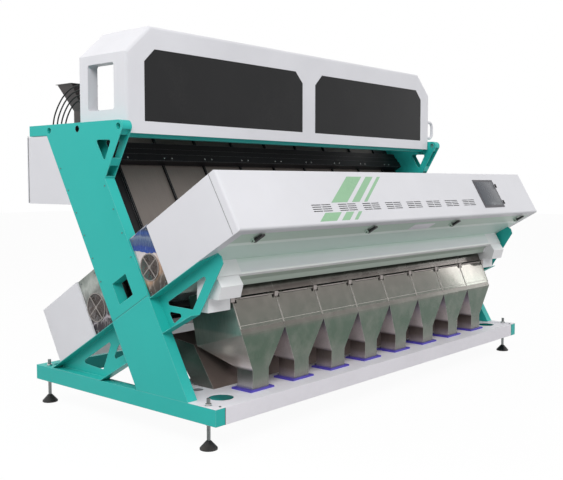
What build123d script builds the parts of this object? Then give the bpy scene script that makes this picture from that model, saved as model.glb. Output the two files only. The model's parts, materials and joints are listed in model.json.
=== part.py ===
from build123d import *

import os
from math import cos, radians, sin, sqrt, tan

# Eight-lane optical sorter for grain, in millimetres: X along the machine, Y to the rear, Z up.
# The origin lies on the floor, in the middle of the bounding box.
# Most pieces are drawn in a leaning frame: u runs along the posts, up and to the rear, and v runs
# square to them, up and to the front. Y is first measured from the middle of the base.

# Overall
machine_width = 3400.0
lean_angle = 30.0
lane_count = 8
lane_side_room = 284.0
panel_sheet = 2.5
frame_plate = 4.0
run_clearance = 0.05
rest_gap = 0.3

# Base and levelling feet
beam_bottom = 137.0
beam_width = 70.0
beam_height = 89.0
beam_length = 1606.0
deck_depth = 600.0
deck_hole_radius = 68.0
deck_hole_inset = 130.0
deck_hole_back = 163.0
cable_hole_radius = 35.0
cable_hole_inset = 160.0
cable_hole_back = 383.0
front_tube_back = 248.0
foot_inset = 89.0
pad_radius = 47.0
pad_rim = 8.0
pad_height = 44.0
stud_radius = 10.0
stud_above_beam = 40.0
nut_radius = 17.0
nut_height = 12.0

# Posts, with the flared top and the arm that runs back over the cabinet
post_thickness = 68.0
post_rear_v = 270.0
post_front_v = 630.0
post_top = 1717.0
flare_height = 325.0
rear_arm_reach = 828.0
rear_arm_height = 64.0
corner_radius = 36.0
corner_block = 100.0
lifting_hole_radius = 19.0
lifting_sleeve = 8.0
lifting_hole_places = (332.0, 617.0)
flare_slot_depth = 12.0
flare_slot_rise = 16.0
flare_cap = 62.0
flare_gusset = (84.0, 133.0)
flare_hole = ((157.0, 105.0), (17.0, 108.0), (79.0, 229.0))
flare_hole_radius = 12.0
post_window_u = (575.0, 703.0)
post_window_v = (378.0, 515.0)
post_seam_u = 518.0
post_seam_width = 5.0
post_seam_depth = 2.0

# Front arms and rear struts: reach from the post and drop below the top edge
arm_outline = ((532.0, 0.0), (548.0, 26.0), (541.0, 64.0), (250.0, 218.0))
arm_root_depth = 209.0
arm_flange_reach = 440.0
arm_holes = (
    ((420.0, 59.0), (25.0, 56.0), (217.0, 174.0)),
    ((36.0, 102.0), (143.0, 169.0), (43.0, 179.0)),
)
strut_toe = 150.0
strut_root_depth = 248.0
strut_holes = (
    ((142.0, 60.0), (485.0, 60.0), (310.0, 177.0)),
    ((88.0, 101.0), (198.0, 165.0), (76.0, 175.0)),
)
brace_hole_radius = 12.0

# Cross beams between the post tops
front_beam_setback = 60.0
front_beam_depth = 60.0
front_beam_drop = 20.0
front_beam_height = 66.0
mid_beam_front = 480.0
mid_beam_depth = 50.0

# Top hood and its windows
hood_side_gap = 80.0
hood_front = -22.0
hood_rear = 410.0
hood_skirt_drop = 67.0
hood_cheek_rise = 70.0
hood_height = 615.0
hood_chamfer_x = 178.0
hood_chamfer_z = 160.0
hood_sheet = 3.0
hood_radius = 18.0
hand_hole_y = (88.0, 332.0)
hand_hole_rise = (137.0, 402.0)
hand_hole_radius = 16.0
hand_hole_depth = 70.0
handle_radius = 12.0
handle_bend = 40.0
handle_reach = 77.0
handle_setback = 16.0
handle_rise = (98.0, 231.0)
window_side_margin = 132.0
window_inner = 70.0
window_rise = (71.0, 485.0)
window_chamfer_x = 77.0
window_chamfer_z = 75.0
window_rim = 14.0
window_thickness = 4.0

# Feed: base plate, drives, vibrating trays and hopper
feeder_base_side_gap = 132.0
feeder_base_plate = 6.0
drive_size = (170.0, 190.0, 22.0)
spring_thickness = 4.0
spring_spread = 250.0
tray_front = 400.0
tray_rear = 740.0
tray_gap = 24.0
tray_rise = 30.0
tray_wall = 36.0
tray_sheet = 3.0
hopper_sheet = 3.0
trough_front = 560.0
trough_rear = 760.0
trough_tray_gap = 6.0
trough_depth = 28.0
funnel_count = 4
funnel_end_gap = -10.0
funnel_mouth = (190.0, 150.0)
funnel_neck = (110.0, 90.0)
funnel_centre = 713.0
funnel_height = 162.0
funnel_lip = 14.0

# Chutes and what holds them
chute_setback = 170.0
chute_bottom_u = 900.0
chute_top_u = 1650.0
chute_sheet = 3.0
divider_width = 12.0
divider_height = 14.0
bar_size = 50.0
bar_rises = (60.0, 380.0, 692.0)
chute_cover_drops = (216.0, 168.0, 126.0, 80.0)
chute_cover_depths = (56.0, 49.0, 42.0)

# Front optical box
box_bottom_u = 500.0
box_height = 345.0
box_post_gap = 10.0
box_reach = 734.0
door_depth = 50.0
door_gap = 1.0
door_radius = 14.0
end_cover_width = 60.0
slot_rise = 85.0
slot_height = 180.0
slot_margin = 14.0
glass_overlap = 15.0
glass_thickness = 6.0
lamp_size = (30.0, 55.0)
lamp_end_margin = 10.0
rail_rise = 120.0
rail_plate = 6.0
camera_size = (70.0, 70.0, 140.0)
lens_radius = 24.0
lens_length = 45.0
camera_door_gap = 94.0
screen_width = 302.0
screen_end_gap = 520.0
screen_rise = 56.0
screen_height = 228.0
screen_bezel = 4.0
screen_rim = 6.0
screen_depth = 30.0
vent_groups = 8
vent_end_gap = 710.0
vent_screen_gap = 202.0
vent_slot = (82.0, 5.0)
vent_rise = 85.0
vent_row_pitch = 13.0
vent_row_count = 4
vent_columns = (-44.0, 44.0)

# Hinges: barrel radius, pin radius and the length of one knuckle
barrel_radius = 6.0
pin_radius = 3.0
knuckle_length = 40.0
fixed_knuckle_length = 24.0
leaf_plate = 3.0
leaf_width = 30.0
hinge_count = 5
hinge_end_gap = 350.0

# Door latches
latch_count = 4
latch_end_gap = 200.0
latch_setback = 59.0
latch_drop = 13.0
latch_length = 80.0
latch_width = 24.0
latch_height = 13.0
latch_pin_radius = 4.0
latch_tail = 10.0
latch_round = 5.0
latch_ear = 4.0
latch_ear_drop = 8.0
latch_ear_reach = 12.0

# Side plates and fans
side_plate_recess = 12.0
side_plate_sheet = 2.0
side_plate_depth = 180.0
side_plate_rise = 13.0
fan_front_place = (147.0, 78.0)
fan_rear_place = (141.0, 110.0)
fan_front_radius = 66.0
fan_rear_radius = 75.0
guard_ring = 6.0
guard_thickness = 4.0
guard_spoke = 6.0
guard_hub_radius = 11.0
fan_hub_radius = 22.0
fan_shaft_radius = 4.0
fan_shaft_length = 40.0
fan_width = 28.0
fan_blades = 7
blade_pitch = 35.0
blade_thickness = 3.0
blade_gap = 4.0
blade_width = 22.0
spoke_turn = 15.0

# Rear optical box
rear_box_bottom_u = 515.0
rear_box_height = 345.0
rear_box_reach = 600.0
rear_plate_depth = 195.0
rear_lid_depth = 21.0
rear_lid_end_gap = 15.0
rear_camera_gap = 100.0

# Glass wipers
wiper_rod_radius = 8.0
wiper_rise = 300.0
wiper_reach = 28.0
wiper_end_gap = 92.0
wiper_length = 60.0
wiper_blade = 14.0
wiper_block = 30.0

# Air ejector
ejector_drop = 5.0
ejector_post_gap = 30.0
ejector_size = (65.0, 125.0)
ejector_wall = 6.0
nozzle_strip = 8.0
valve_gap = 54.0
valve_size = (45.0, 58.0)

# Lower front cover and its end blocks
cover_face_v = 1060.0
cover_flange = 60.0
cover_fold_u = 410.0
cover_return = (400.0, 1000.0)
cover_foot = (-657.0, 816.0)
end_block_lane_gap = 14.0
end_block_side_gap = 104.0
end_block_knee = (-743.0, 834.0)
end_block_toe = (-722.0, 765.0)
end_block_step = (-645.0, 690.0)
end_block_back = -560.0
end_block_top_v = 940.0

# Collecting hoppers, lids and spouts
hinge_rod = (-637.0, 742.0)
hopper_knee = (-715.0, 559.0)
hopper_rim = 728.0
hopper_front_rise = 87.0
hinge_clear = 14.0
hopper_back_top = -300.0
hopper_back_foot = (-365.0, 454.0)
hopper_gap = 2.0
steel_sheet = 2.0
spout_front = -690.0
spout_size = (130.0, 120.0)
spout_top = 340.0
flange_size = (190.0, 150.0)
flange_plate = 10.0
lid_sheet = 2.0
lid_lip = 43.0
lid_margin = 14.0
lid_cut = 10.0
rod_radius = 5.0
sleeve_radius = 8.0
sleeve_length = 30.0
sleeve_offset = 130.0
fitting_size = (30.0, 24.0)
fitting_top = 754.0

# Trough that catches the grain behind the hoppers
catch_top = (-333.0, 455.0)
catch_bottom = (-492.0, -330.0)
catch_back = (-110.0, 483.0)
catch_end_gap = 6.0
catch_sheet = 3.0
catch_slot = (-460.0, -360.0)
catch_slot_margin = 110.0

# Electrical cabinet and its flaps
cabinet_gap = 3.0
cabinet_height = 410.0
cabinet_rear_gap = 13.0
flap_depth = 16.0
flap_gap = 6.0
flap_barrel_gap = 1.0
flap_margin = 3.0
flap_barrel = 5.0
flap_pin = 2.5
flap_hinge_spread = 800.0
flap_tab = 16.0

# Cables from the feed to the cabinet, and screws
cable_radius = 4.5
cable_count = 4
cable_bend = 0.45
cable_post_gap = 42.0
cable_start_rise = 238.0
cable_start_step = 30.0
cable_end_y = 742.0
cable_end_step = 43.0
cable_route = ((0.0, 0.0), (0.28, 0.0), (0.6, 0.14), (0.85, 0.4), (1.0, 0.7), (1.0, 1.0))
outlet_gap = 10.0
outlet_margin = 25.0
collar_radius = 8.0
collar_height = 12.0
screw_radius = 4.0
screw_head = 2.5
screw_margin = 22.0
post_screws = 6
post_screw_first = 760.0
post_screw_pitch = 150.0

# Values that follow from the driving dimensions
lean_sin = sin(radians(lean_angle))
lean_cos = cos(radians(lean_angle))
half_width = machine_width / 2
frame_inner = half_width - beam_width
post_inner = half_width - post_thickness
beam_top = beam_bottom + beam_height
beam_half = beam_length / 2
beam_centre_x = half_width - beam_width / 2
foot_y = beam_half - foot_inset
lane_half = half_width - lane_side_room
lane_pitch = 2 * lane_half / lane_count
lanes = [(index - (lane_count - 1) / 2) * lane_pitch for index in range(lane_count)]
lane_edges = [(index - lane_count / 2) * lane_pitch for index in range(lane_count + 1)]
post_knee = post_top - flare_height
hood_skirt = post_top - hood_skirt_drop
hood_cheek_bottom = hood_skirt + hood_cheek_rise
hood_top = hood_skirt + hood_height
hand_hole_z = [hood_skirt + rise for rise in hand_hole_rise]
window_z = [hood_skirt + rise for rise in window_rise]
base_plate_top = post_top + feeder_base_plate
tray_floor = base_plate_top + tray_rise
trough_bottom = tray_floor + tray_wall + trough_tray_gap
trough_top = trough_bottom + trough_depth
funnel_top = trough_top + funnel_height
cabinet_top = post_top - rear_arm_height - cabinet_gap
cabinet_z = (cabinet_top - cabinet_height, cabinet_top)
cabinet_rear = rear_arm_reach + cabinet_rear_gap
chute_v = post_front_v - chute_setback
bar_places = [chute_bottom_u + rise for rise in bar_rises]
chute_cover_u = [chute_top_u - drop for drop in chute_cover_drops]
box_u = (box_bottom_u, box_bottom_u + box_height)
box_inner_v = post_front_v + box_post_gap
cover_v = post_front_v + side_plate_depth
door_back_v = post_front_v + box_reach
rear_box_u = (rear_box_bottom_u, rear_box_bottom_u + rear_box_height)
rear_box_v = post_rear_v - rear_box_reach
rear_plate_v = post_rear_v - rear_plate_depth
slot_u = (box_bottom_u + slot_rise, box_bottom_u + slot_rise + slot_height)
rail_u = box_bottom_u + rail_rise
screen_u = (box_bottom_u + screen_rise, box_bottom_u + screen_rise + screen_height)
vent_rows = [box_bottom_u + vent_rise + row * vent_row_pitch for row in range(vent_row_count)]
latch_v = door_back_v - latch_setback
wiper_u = box_bottom_u + wiper_rise
side_plate_top_u = box_u[1] + side_plate_rise
fan_front = (box_bottom_u + fan_front_place[0], post_front_v + fan_front_place[1], fan_front_radius)
fan_rear = (rear_box_bottom_u + fan_rear_place[0], post_rear_v - fan_rear_place[1], fan_rear_radius)
ejector_top = box_bottom_u - ejector_drop
ejector_u = (ejector_top - ejector_size[0], ejector_top)
ejector_rear = post_rear_v + ejector_post_gap
ejector_v = (ejector_rear, ejector_rear + ejector_size[1])
box_half = half_width - end_cover_width
rear_lid_half = box_half - rear_lid_end_gap
hood_half = half_width - hood_side_gap
window_outer = hood_half - window_side_margin
feeder_base_half = post_inner - feeder_base_side_gap
tray_width = lane_pitch - tray_gap
funnel_pitch = 2 * (lane_half - funnel_end_gap) / (funnel_count - 1)
slot_half = lane_half + slot_margin
lamp_half = slot_half - lamp_end_margin
side_plate_x = half_width - side_plate_recess
wiper_start = wiper_end_gap - post_inner
end_block_x = (lane_half + end_block_lane_gap, half_width - end_block_side_gap)
catch_half = lane_half - catch_end_gap
catch_slot_half = catch_half - catch_slot_margin
camera_v = door_back_v - camera_size[2] - camera_door_gap
rear_camera_v = rear_box_v + rear_camera_gap
screen_right = half_width - screen_end_gap
screen_x = (screen_right - screen_width, screen_right)
vent_first = vent_end_gap - half_width
vent_pitch = (screen_x[0] - vent_screen_gap - vent_first) / (vent_groups - 1)
hinge_pitch = 2 * (half_width - hinge_end_gap) / (hinge_count - 1)
hinge_places = [(index - (hinge_count - 1) / 2) * hinge_pitch for index in range(hinge_count)]
latch_pitch = 2 * (half_width - latch_end_gap) / (latch_count - 1)
latch_places = [(index - (latch_count - 1) / 2) * latch_pitch for index in range(latch_count)]
flap_offsets = (half_width / 2 - flap_hinge_spread / 2, half_width / 2 + flap_hinge_spread / 2)
flap_hinges = [side * offset for side in (-1, 1) for offset in flap_offsets]
door_v = door_back_v + door_gap
door_front_v = door_back_v + door_depth
spout_back = spout_front + spout_size[1]
spout_middle = (spout_front + spout_back) / 2
deck_front = -beam_half
chute_under_v = chute_v - chute_sheet
lid_span = sqrt((hopper_knee[0] - hinge_rod[0]) ** 2 + (hopper_knee[1] - hinge_rod[1]) ** 2)
lid_along = ((hopper_knee[0] - hinge_rod[0]) / lid_span, (hopper_knee[1] - hinge_rod[1]) / lid_span)
lid_out = (lid_along[1], -lid_along[0])
flap_rear = cabinet_rear + flap_gap + flap_depth
rod_bore = rod_radius + run_clearance


def lean(u, v):
    """Point (y, z) that lies u along the posts and v square to them."""
    return (u * lean_sin - v * lean_cos, u * lean_cos + v * lean_sin)


def lean_at(v, z):
    """Point (y, z) at height z on the leaning line with this v."""
    return lean((z - v * lean_sin) / lean_cos, v)


def prism(points, x0, x1):
    """Outline of (y, z) points carried from x0 to x1."""
    outline = Polyline([(x0, y, z) for y, z in points], close=True)
    return extrude(make_face(outline), amount=x1 - x0, dir=(1, 0, 0))


def block(x0, x1, y0, y1, z0, z1):
    """Upright box between two corners."""
    centre = Pos((x0 + x1) / 2, (y0 + y1) / 2, (z0 + z1) / 2)
    return centre * Box(x1 - x0, y1 - y0, z1 - z0)


def lean_block(x0, x1, u0, u1, v0, v1):
    """Box in the leaning frame."""
    return prism([lean(u0, v0), lean(u1, v0), lean(u1, v1), lean(u0, v1)], x0, x1)


def rod(x0, x1, centre, radius):
    """Round bar along X, about the point (y, z)."""
    place = Pos((x0 + x1) / 2, centre[0], centre[1]) * Rot(0, 90, 0)
    return place * Cylinder(radius, x1 - x0)


def upright(x, y, z0, z1, radius):
    """Round bar along Z."""
    return Pos(x, y, (z0 + z1) / 2) * Cylinder(radius, z1 - z0)


def lean_rod(x, u, v0, v1, radius):
    """Round bar along v."""
    y, z = lean(u, (v0 + v1) / 2)
    return Plane(origin=(x, y, z), z_dir=(0, -lean_cos, lean_sin)) * Cylinder(radius, abs(v1 - v0))


def pair(part):
    """The part and its mirror image on the machine's other side."""
    return [part, mirror(part, about=Plane.YZ)]


def left_of(start, end):
    """Unit vector to the left of the line from start to end."""
    along = (end[0] - start[0], end[1] - start[1])
    length = sqrt(along[0] ** 2 + along[1] ** 2)
    return (-along[1] / length, along[0] / length)


def shifted_corner(before, corner, after, distance):
    """The corner with both of its edges moved to their left by the distance."""
    first = left_of(before, corner)
    second = left_of(corner, after)
    scale = distance / (1 + first[0] * second[0] + first[1] * second[1])
    return (corner[0] + (first[0] + second[0]) * scale, corner[1] + (first[1] + second[1]) * scale)


def inset(points, distance):
    """Closed outline moved inwards by the distance."""
    following = points[1:] + points[:1]
    area = sum(p[0] * q[1] - q[0] * p[1] for p, q in zip(points, following))
    inwards = distance if area > 0 else -distance
    count = len(points)
    return [
        shifted_corner(points[index - 1], points[index], points[(index + 1) % count], inwards)
        for index in range(count)
    ]


def bent_sheet(points, thickness, x0, x1):
    """Sheet with one face on the points and its thickness to their left."""
    before = (2 * points[0][0] - points[1][0], 2 * points[0][1] - points[1][1])
    after = (2 * points[-1][0] - points[-2][0], 2 * points[-1][1] - points[-2][1])
    chain = [before] + points + [after]
    other = [
        shifted_corner(chain[index - 1], chain[index], chain[index + 1], thickness)
        for index in range(1, len(chain) - 1)
    ]
    return prism(points + other[::-1], x0, x1)


def rounded(part, radius):
    """The part with its edges along X rounded."""
    return fillet(part.edges().filter_by(Axis.X), radius)


def lean_height(face):
    """How far forwards, along v, a face lies."""
    centre = face.center()
    return centre.Z * lean_sin - centre.Y * lean_cos


def knuckle_spans(x):
    """X ranges of the moving knuckle and of the two fixed knuckles of one hinge."""
    half = knuckle_length / 2
    outer = half + fixed_knuckle_length
    return (x - half + rest_gap, x + half - rest_gap), ((x - outer, x - half), (x + half, x + outer))


def moving_knuckle(centre, x, radius, pin, leaf):
    """Bored knuckle of the piece that swings, joined to its leaf."""
    span = knuckle_spans(x)[0]
    return rod(*span, centre, radius) + leaf - rod(*span, centre, pin + run_clearance)


def fixed_knuckles(centre, x, radius, pin):
    """The two knuckles of the piece that stays, with the pin through all three."""
    first, second = knuckle_spans(x)[1]
    knuckles = rod(*first, centre, radius) + rod(*second, centre, radius)
    return knuckles + rod(first[0], second[1], centre, pin)


def base_frame():
    """Side beams with end caps, the rear cross tube and the tube under the deck."""
    inner_end = beam_half - frame_plate
    beam = block(frame_inner, half_width, -inner_end, inner_end, beam_bottom, beam_top)
    beam = beam - block(
        frame_inner + frame_plate, half_width - frame_plate, -inner_end, inner_end,
        beam_bottom + frame_plate, beam_top - frame_plate,
    )
    for y in (-foot_y, foot_y):
        beam = beam - upright(beam_centre_x, y, beam_bottom, beam_top, stud_radius + run_clearance)
    solids = pair(beam)
    for y0, y1 in ((-beam_half, -inner_end), (inner_end, beam_half)):
        solids += pair(block(frame_inner, half_width, y0, y1, beam_bottom, beam_top))
    front_tube = deck_front + front_tube_back
    for y0, y1, top in (
        (beam_half - beam_width, beam_half, beam_top),
        (front_tube, front_tube + beam_width, beam_top - frame_plate),
    ):
        tube = block(-frame_inner, frame_inner, y0, y1, beam_bottom, top)
        solids.append(tube - block(
            -frame_inner, frame_inner, y0 + frame_plate, y1 - frame_plate,
            beam_bottom + frame_plate, top - frame_plate,
        ))
    return solids


def front_deck():
    """White folded plate between the beams, with its holes."""
    deck_rear = deck_front + deck_depth
    deck = block(-frame_inner, frame_inner, deck_front, deck_rear, beam_top - frame_plate, beam_top)
    deck = deck + block(-frame_inner, frame_inner, deck_front, deck_front + frame_plate, beam_bottom, beam_top)
    deck = deck + block(-frame_inner, frame_inner, deck_rear - frame_plate, deck_rear, beam_bottom, beam_top)
    for side in (-1, 1):
        hole_x = side * (frame_inner - deck_hole_inset)
        deck = deck - upright(hole_x, deck_front + deck_hole_back, beam_bottom, beam_top, deck_hole_radius)
        hole_x = side * (frame_inner - cable_hole_inset)
        deck = deck - upright(hole_x, deck_front + cable_hole_back, beam_bottom, beam_top, cable_hole_radius)
    for x in lanes:
        deck = deck - spout_space(x, beam_top - frame_plate, beam_top)
    return [deck - block(-catch_slot_half, catch_slot_half, *catch_slot, beam_top - frame_plate, beam_top)]


def levelling_foot(x, y):
    """Round pad with its stud."""
    pad = upright(x, y, 0, pad_rim, pad_radius)
    cone = Cone(pad_radius, stud_radius + frame_plate, pad_height - pad_rim)
    pad = pad + Pos(x, y, (pad_height + pad_rim) / 2) * cone
    return [pad + upright(x, y, pad_height, beam_top + stud_above_beam, stud_radius)]


def foot_nuts():
    """Lock nuts above and below the beams."""
    solids = []
    hexagon = extrude(RegularPolygon(nut_radius, 6), nut_height)
    for x in (-beam_centre_x, beam_centre_x):
        for y in (-foot_y, foot_y):
            for z in (beam_bottom - nut_height, beam_top):
                bore = upright(x, y, z, z + nut_height, stud_radius + run_clearance)
                solids.append(Pos(x, y, z) * hexagon - bore)
    return solids


def post_outline():
    """Outline of a post: leaning leg, flared top and rear arm."""
    knee = lean_at(post_front_v, post_knee)
    top_front = knee[0] - (post_top - post_knee) * tan(radians(lean_angle))
    arm_bottom = post_top - rear_arm_height
    return [
        lean_at(post_front_v, beam_top), knee, (top_front, post_top), (rear_arm_reach, post_top),
        (rear_arm_reach, arm_bottom), lean_at(post_rear_v, arm_bottom), lean_at(post_rear_v, beam_top),
    ]


def step(point, direction, distance):
    """Point (y, z) moved along a direction."""
    return (point[0] + direction[0] * distance, point[1] + direction[1] * distance)


def near(point, edge):
    """True for an edge that passes the point (y, z)."""
    centre = edge.center()
    return abs(centre.Y - point[0]) < 1 and abs(centre.Z - point[1]) < 1


def posts():
    """Hollow leaning posts, open at the foot, with a solid bored corner at the flared top."""
    outline = post_outline()
    knee, top_front = outline[1:3]
    wall = frame_plate
    inner_face = post_inner + wall
    outer_face = half_width - wall
    post = prism(outline, post_inner, half_width)
    post = fillet([edge for edge in post.edges().filter_by(Axis.X) if near(top_front, edge)], corner_radius)
    pocket = inset(outline, wall)
    below = beam_top - wall
    pocket[0] = lean_at(post_front_v - wall, below)
    pocket[-1] = lean_at(post_rear_v + wall, below)
    corner = pocket[2]
    flare = (-lean_sin, lean_cos)
    inwards = (lean_cos, lean_sin)
    pocket[2:3] = [step(corner, flare, -corner_block), (corner[0] + corner_block, corner[1])]
    u0, u1 = post_window_u
    v0, v1 = post_window_v
    hollow = prism(pocket, inner_face, outer_face)
    boss = (top_front[0] + corner_radius * (lean_sin + 1) / lean_cos, post_top - corner_radius)
    for y in lifting_hole_places:
        hollow = hollow - rod(inner_face, outer_face, (y, boss[1]), lifting_hole_radius + lifting_sleeve)
    post = post - (hollow - lean_block(inner_face, outer_face, u0 - wall, u1 + wall, v0 - wall, v1 + wall))
    post = post - rounded(lean_block(post_inner, half_width, u0, u1, v0, v1), wall)
    flare_length = (post_top - post_knee) / lean_cos
    for low, high in ((flare_slot_rise, flare_gusset[0]), (flare_gusset[1], flare_length - flare_cap)):
        start = step(knee, flare, low)
        end = step(knee, flare, high)
        slot = [
            step(start, inwards, -wall), step(end, inwards, -wall),
            step(end, inwards, flare_slot_depth), step(start, inwards, flare_slot_depth),
        ]
        post = post - prism(slot, inner_face, outer_face)
    post = post - lean_block(
        half_width - post_seam_depth, half_width, post_seam_u - post_seam_width / 2,
        post_seam_u + post_seam_width / 2, post_rear_v, post_front_v,
    )
    for y in (boss[0], *lifting_hole_places):
        post = post - rod(post_inner, half_width, (y, boss[1]), lifting_hole_radius)
    hole = [(y, post_top - drop) for y, drop in flare_hole]
    return pair(post - rounded(prism(hole, post_inner, half_width), flare_hole_radius))


def brace(outline, holes):
    """Plate channel: a web with rounded three-sided holes and a flange all round."""
    web_face = post_inner + frame_plate
    channel = prism(outline, post_inner, half_width) - prism(inset(outline, frame_plate), web_face, half_width)
    for points in holes:
        channel = channel - rounded(prism(points, post_inner, web_face), brace_hole_radius)
    return pair(channel)


def front_arms():
    """Braces in front of the posts, which carry the front optical box: a web with two outer flanges."""
    top = box_u[0]
    web_face = post_inner + frame_plate
    points = [lean(top, post_front_v)]
    points += [lean(top - drop, post_front_v + reach) for reach, drop in arm_outline]
    points.append(lean(top - arm_root_depth, post_front_v))
    arm = prism(points, post_inner, web_face)
    for hole in arm_holes:
        corners = [lean(top - drop, post_front_v + reach) for reach, drop in hole]
        arm = arm - rounded(prism(corners, post_inner, web_face), brace_hole_radius)
    tip_v = post_front_v + arm_outline[0][0]
    plate = [
        (post_inner, post_front_v), (half_width, post_front_v),
        (half_width, post_front_v + arm_flange_reach), (web_face, tip_v), (post_inner, tip_v),
    ]
    outline = Polyline([(x, *lean(top, v)) for x, v in plate], close=True)
    arm = arm + extrude(make_face(outline), amount=frame_plate, dir=(0, -lean_sin, -lean_cos))
    toe_reach, toe_drop = arm_outline[-1]
    lower = points[-2:] + [
        lean(top - arm_root_depth + frame_plate, post_front_v),
        lean(top - toe_drop + frame_plate, post_front_v + toe_reach),
    ]
    return pair(arm + prism(lower, post_inner, half_width))


def rear_struts():
    """Braces behind the posts, which carry the rear optical box."""
    top = rear_box_u[0]
    toe_v = (beam_top - top * lean_cos) / lean_sin
    points = [
        lean(top, post_rear_v), lean(top, toe_v), (strut_toe, beam_top),
        lean(top - strut_root_depth, post_rear_v),
    ]
    return brace(points, [
        [lean(top - drop, post_rear_v - reach) for reach, drop in hole] for hole in strut_holes
    ])


def top_beams():
    """Cross tubes between the posts: under the hood's front, under the feeders and at the rear."""
    beam_front = hood_front + front_beam_setback
    front_beam_top = post_top - front_beam_drop
    sections = (
        (beam_front, beam_front + front_beam_depth, front_beam_top - front_beam_height, front_beam_top),
        (mid_beam_front, mid_beam_front + mid_beam_depth, post_top - rear_arm_height, post_top),
        (rear_arm_reach - rear_arm_height, rear_arm_reach, post_top - rear_arm_height, post_top),
    )
    solids = []
    for y0, y1, z0, z1 in sections:
        tube = block(-post_inner, post_inner, y0, y1, z0, z1)
        solids.append(tube - block(
            -post_inner, post_inner, y0 + frame_plate, y1 - frame_plate, z0 + frame_plate, z1 - frame_plate
        ))
    return solids


def hood_outline(margin):
    """Front view of the hood as (x, z) points, drawn in by a margin."""
    side = hood_half - margin
    top = hood_top - margin
    shoulder = side - hood_chamfer_x
    cheek = top - hood_chamfer_z
    right = [(side, hood_skirt), (side, cheek), (shoulder, top)]
    return right + [(-x, z) for x, z in reversed(right)]


def front_prism(points, y0, y1):
    """Outline of (x, z) points carried from y0 to y1."""
    outline = Polyline([(x, y0, z) for x, z in points], close=True)
    return extrude(make_face(outline), amount=y1 - y0, dir=(0, 1, 0))


def rounded_front(part, radius):
    """The part with its frontmost edges rounded, but not the lowest."""
    front = part.faces().sort_by(Axis.Y)[0]
    return fillet(front.edges().sort_by(Axis.Z)[1:], radius)


def window_outline(side, margin):
    """One window as (x, z) points, with its upper corners cut."""
    x0 = window_inner - margin
    x1 = window_outer + margin
    z0 = window_z[0] - margin
    z1 = window_z[1] + margin
    cut = z1 - window_chamfer_z
    points = [
        (x0, z0), (x1, z0), (x1, cut), (x1 - window_chamfer_x, z1), (x0 + window_chamfer_x, z1), (x0, cut)
    ]
    return [(side * x, z) for x, z in points]


def top_hood():
    """White hood, open behind and below, with window openings and lined hand holes."""
    hood = rounded_front(front_prism(hood_outline(0), hood_front, hood_rear), hood_radius)
    hollow = front_prism(hood_outline(hood_sheet), hood_front + hood_sheet, hood_rear)
    hood = hood - rounded_front(hollow, hood_radius - hood_sheet)
    back = hood_front + hood_sheet
    hood = hood - block(-hood_half, hood_half, back, hood_rear, hood_skirt, hood_cheek_bottom)
    corner = block(hood_half - hood_radius, hood_half, hood_front, hood_rear, hood_skirt, hood_cheek_bottom)
    for cut in pair(corner):
        hood = hood - cut
    for side in (-1, 1):
        hood = hood - front_prism(window_outline(side, 0), hood_front, hood_front + hood_sheet)
    y0, y1 = hand_hole_y
    z0, z1 = hand_hole_z
    face = hood_half - hood_sheet
    lining = rounded(
        block(hood_half - hand_hole_depth, face, y0 - hood_sheet, y1 + hood_sheet,
              z0 - hood_sheet, z1 + hood_sheet),
        hand_hole_radius + hood_sheet,
    )
    tunnel = rounded(block(hood_half - hand_hole_depth, hood_half, y0, y1, z0, z1), hand_hole_radius)
    for liner, hole in zip(pair(lining), pair(tunnel)):
        hood = hood + liner - hole
    return [hood + hood_handle()]


def hood_handle():
    """Bent grab handle on the hood's right-hand end, near its front corner."""
    y = hood_front + handle_setback
    low, high = [hood_skirt + rise for rise in handle_rise]
    inner = hood_half - hood_sheet
    outer = hood_half + handle_reach
    path = FilletPolyline((inner, y, low), (outer, y, low), (outer, y, high), (inner, y, high),
                          radius=handle_bend)
    return sweep(Plane(origin=(inner, y, low), z_dir=(1, 0, 0)) * Circle(handle_radius), path=path)


def hood_windows():
    """Dark panels that fill the window openings, with a rim behind the sheet."""
    back = hood_front + hood_sheet
    solids = []
    for side in (-1, 1):
        panel = front_prism(window_outline(side, -rest_gap), hood_front, back)
        solids.append(panel + front_prism(window_outline(side, window_rim), back, back + window_thickness))
    return solids


def feeder_base():
    """Plate that carries the feeders, on the middle and rear cross tubes."""
    half = feeder_base_half
    return [block(-half, half, mid_beam_front, rear_arm_reach, post_top, base_plate_top)]


def feeder_drives():
    """Magnet drive with its two leaf springs under each tray."""
    middle = (tray_front + tray_rear) / 2 + mid_beam_depth
    width, depth, height = drive_size
    solids = []
    for x in lanes:
        drive = block(x - width / 2, x + width / 2, middle - depth / 2, middle + depth / 2,
                      base_plate_top, base_plate_top + height)
        for y in (middle - spring_spread / 2, middle + spring_spread / 2 - spring_thickness):
            drive = drive + block(x - width / 2, x + width / 2, y, y + spring_thickness,
                                  base_plate_top, tray_floor - rest_gap)
        foot = block(x - width / 2, x + width / 2, middle - spring_spread / 2, middle + spring_spread / 2,
                     base_plate_top, base_plate_top + frame_plate)
        solids.append(drive + foot)
    return solids


def feeder_trays():
    """Open trays that shake the grain forwards to the chutes."""
    solids = []
    for x in lanes:
        x0 = x - tray_width / 2
        x1 = x + tray_width / 2
        tray = block(x0, x1, tray_front, tray_rear, tray_floor, tray_floor + tray_wall)
        solids.append(tray - block(
            x0 + tray_sheet, x1 - tray_sheet, tray_front, tray_rear - tray_sheet,
            tray_floor + tray_sheet, tray_floor + tray_wall,
        ))
    return solids


def neck_place(x):
    """Middle of a funnel's neck, which stays over the trough under the outer mouths."""
    reach = lane_half + hopper_sheet - funnel_neck[0] / 2
    return max(-reach, min(reach, x))


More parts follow.
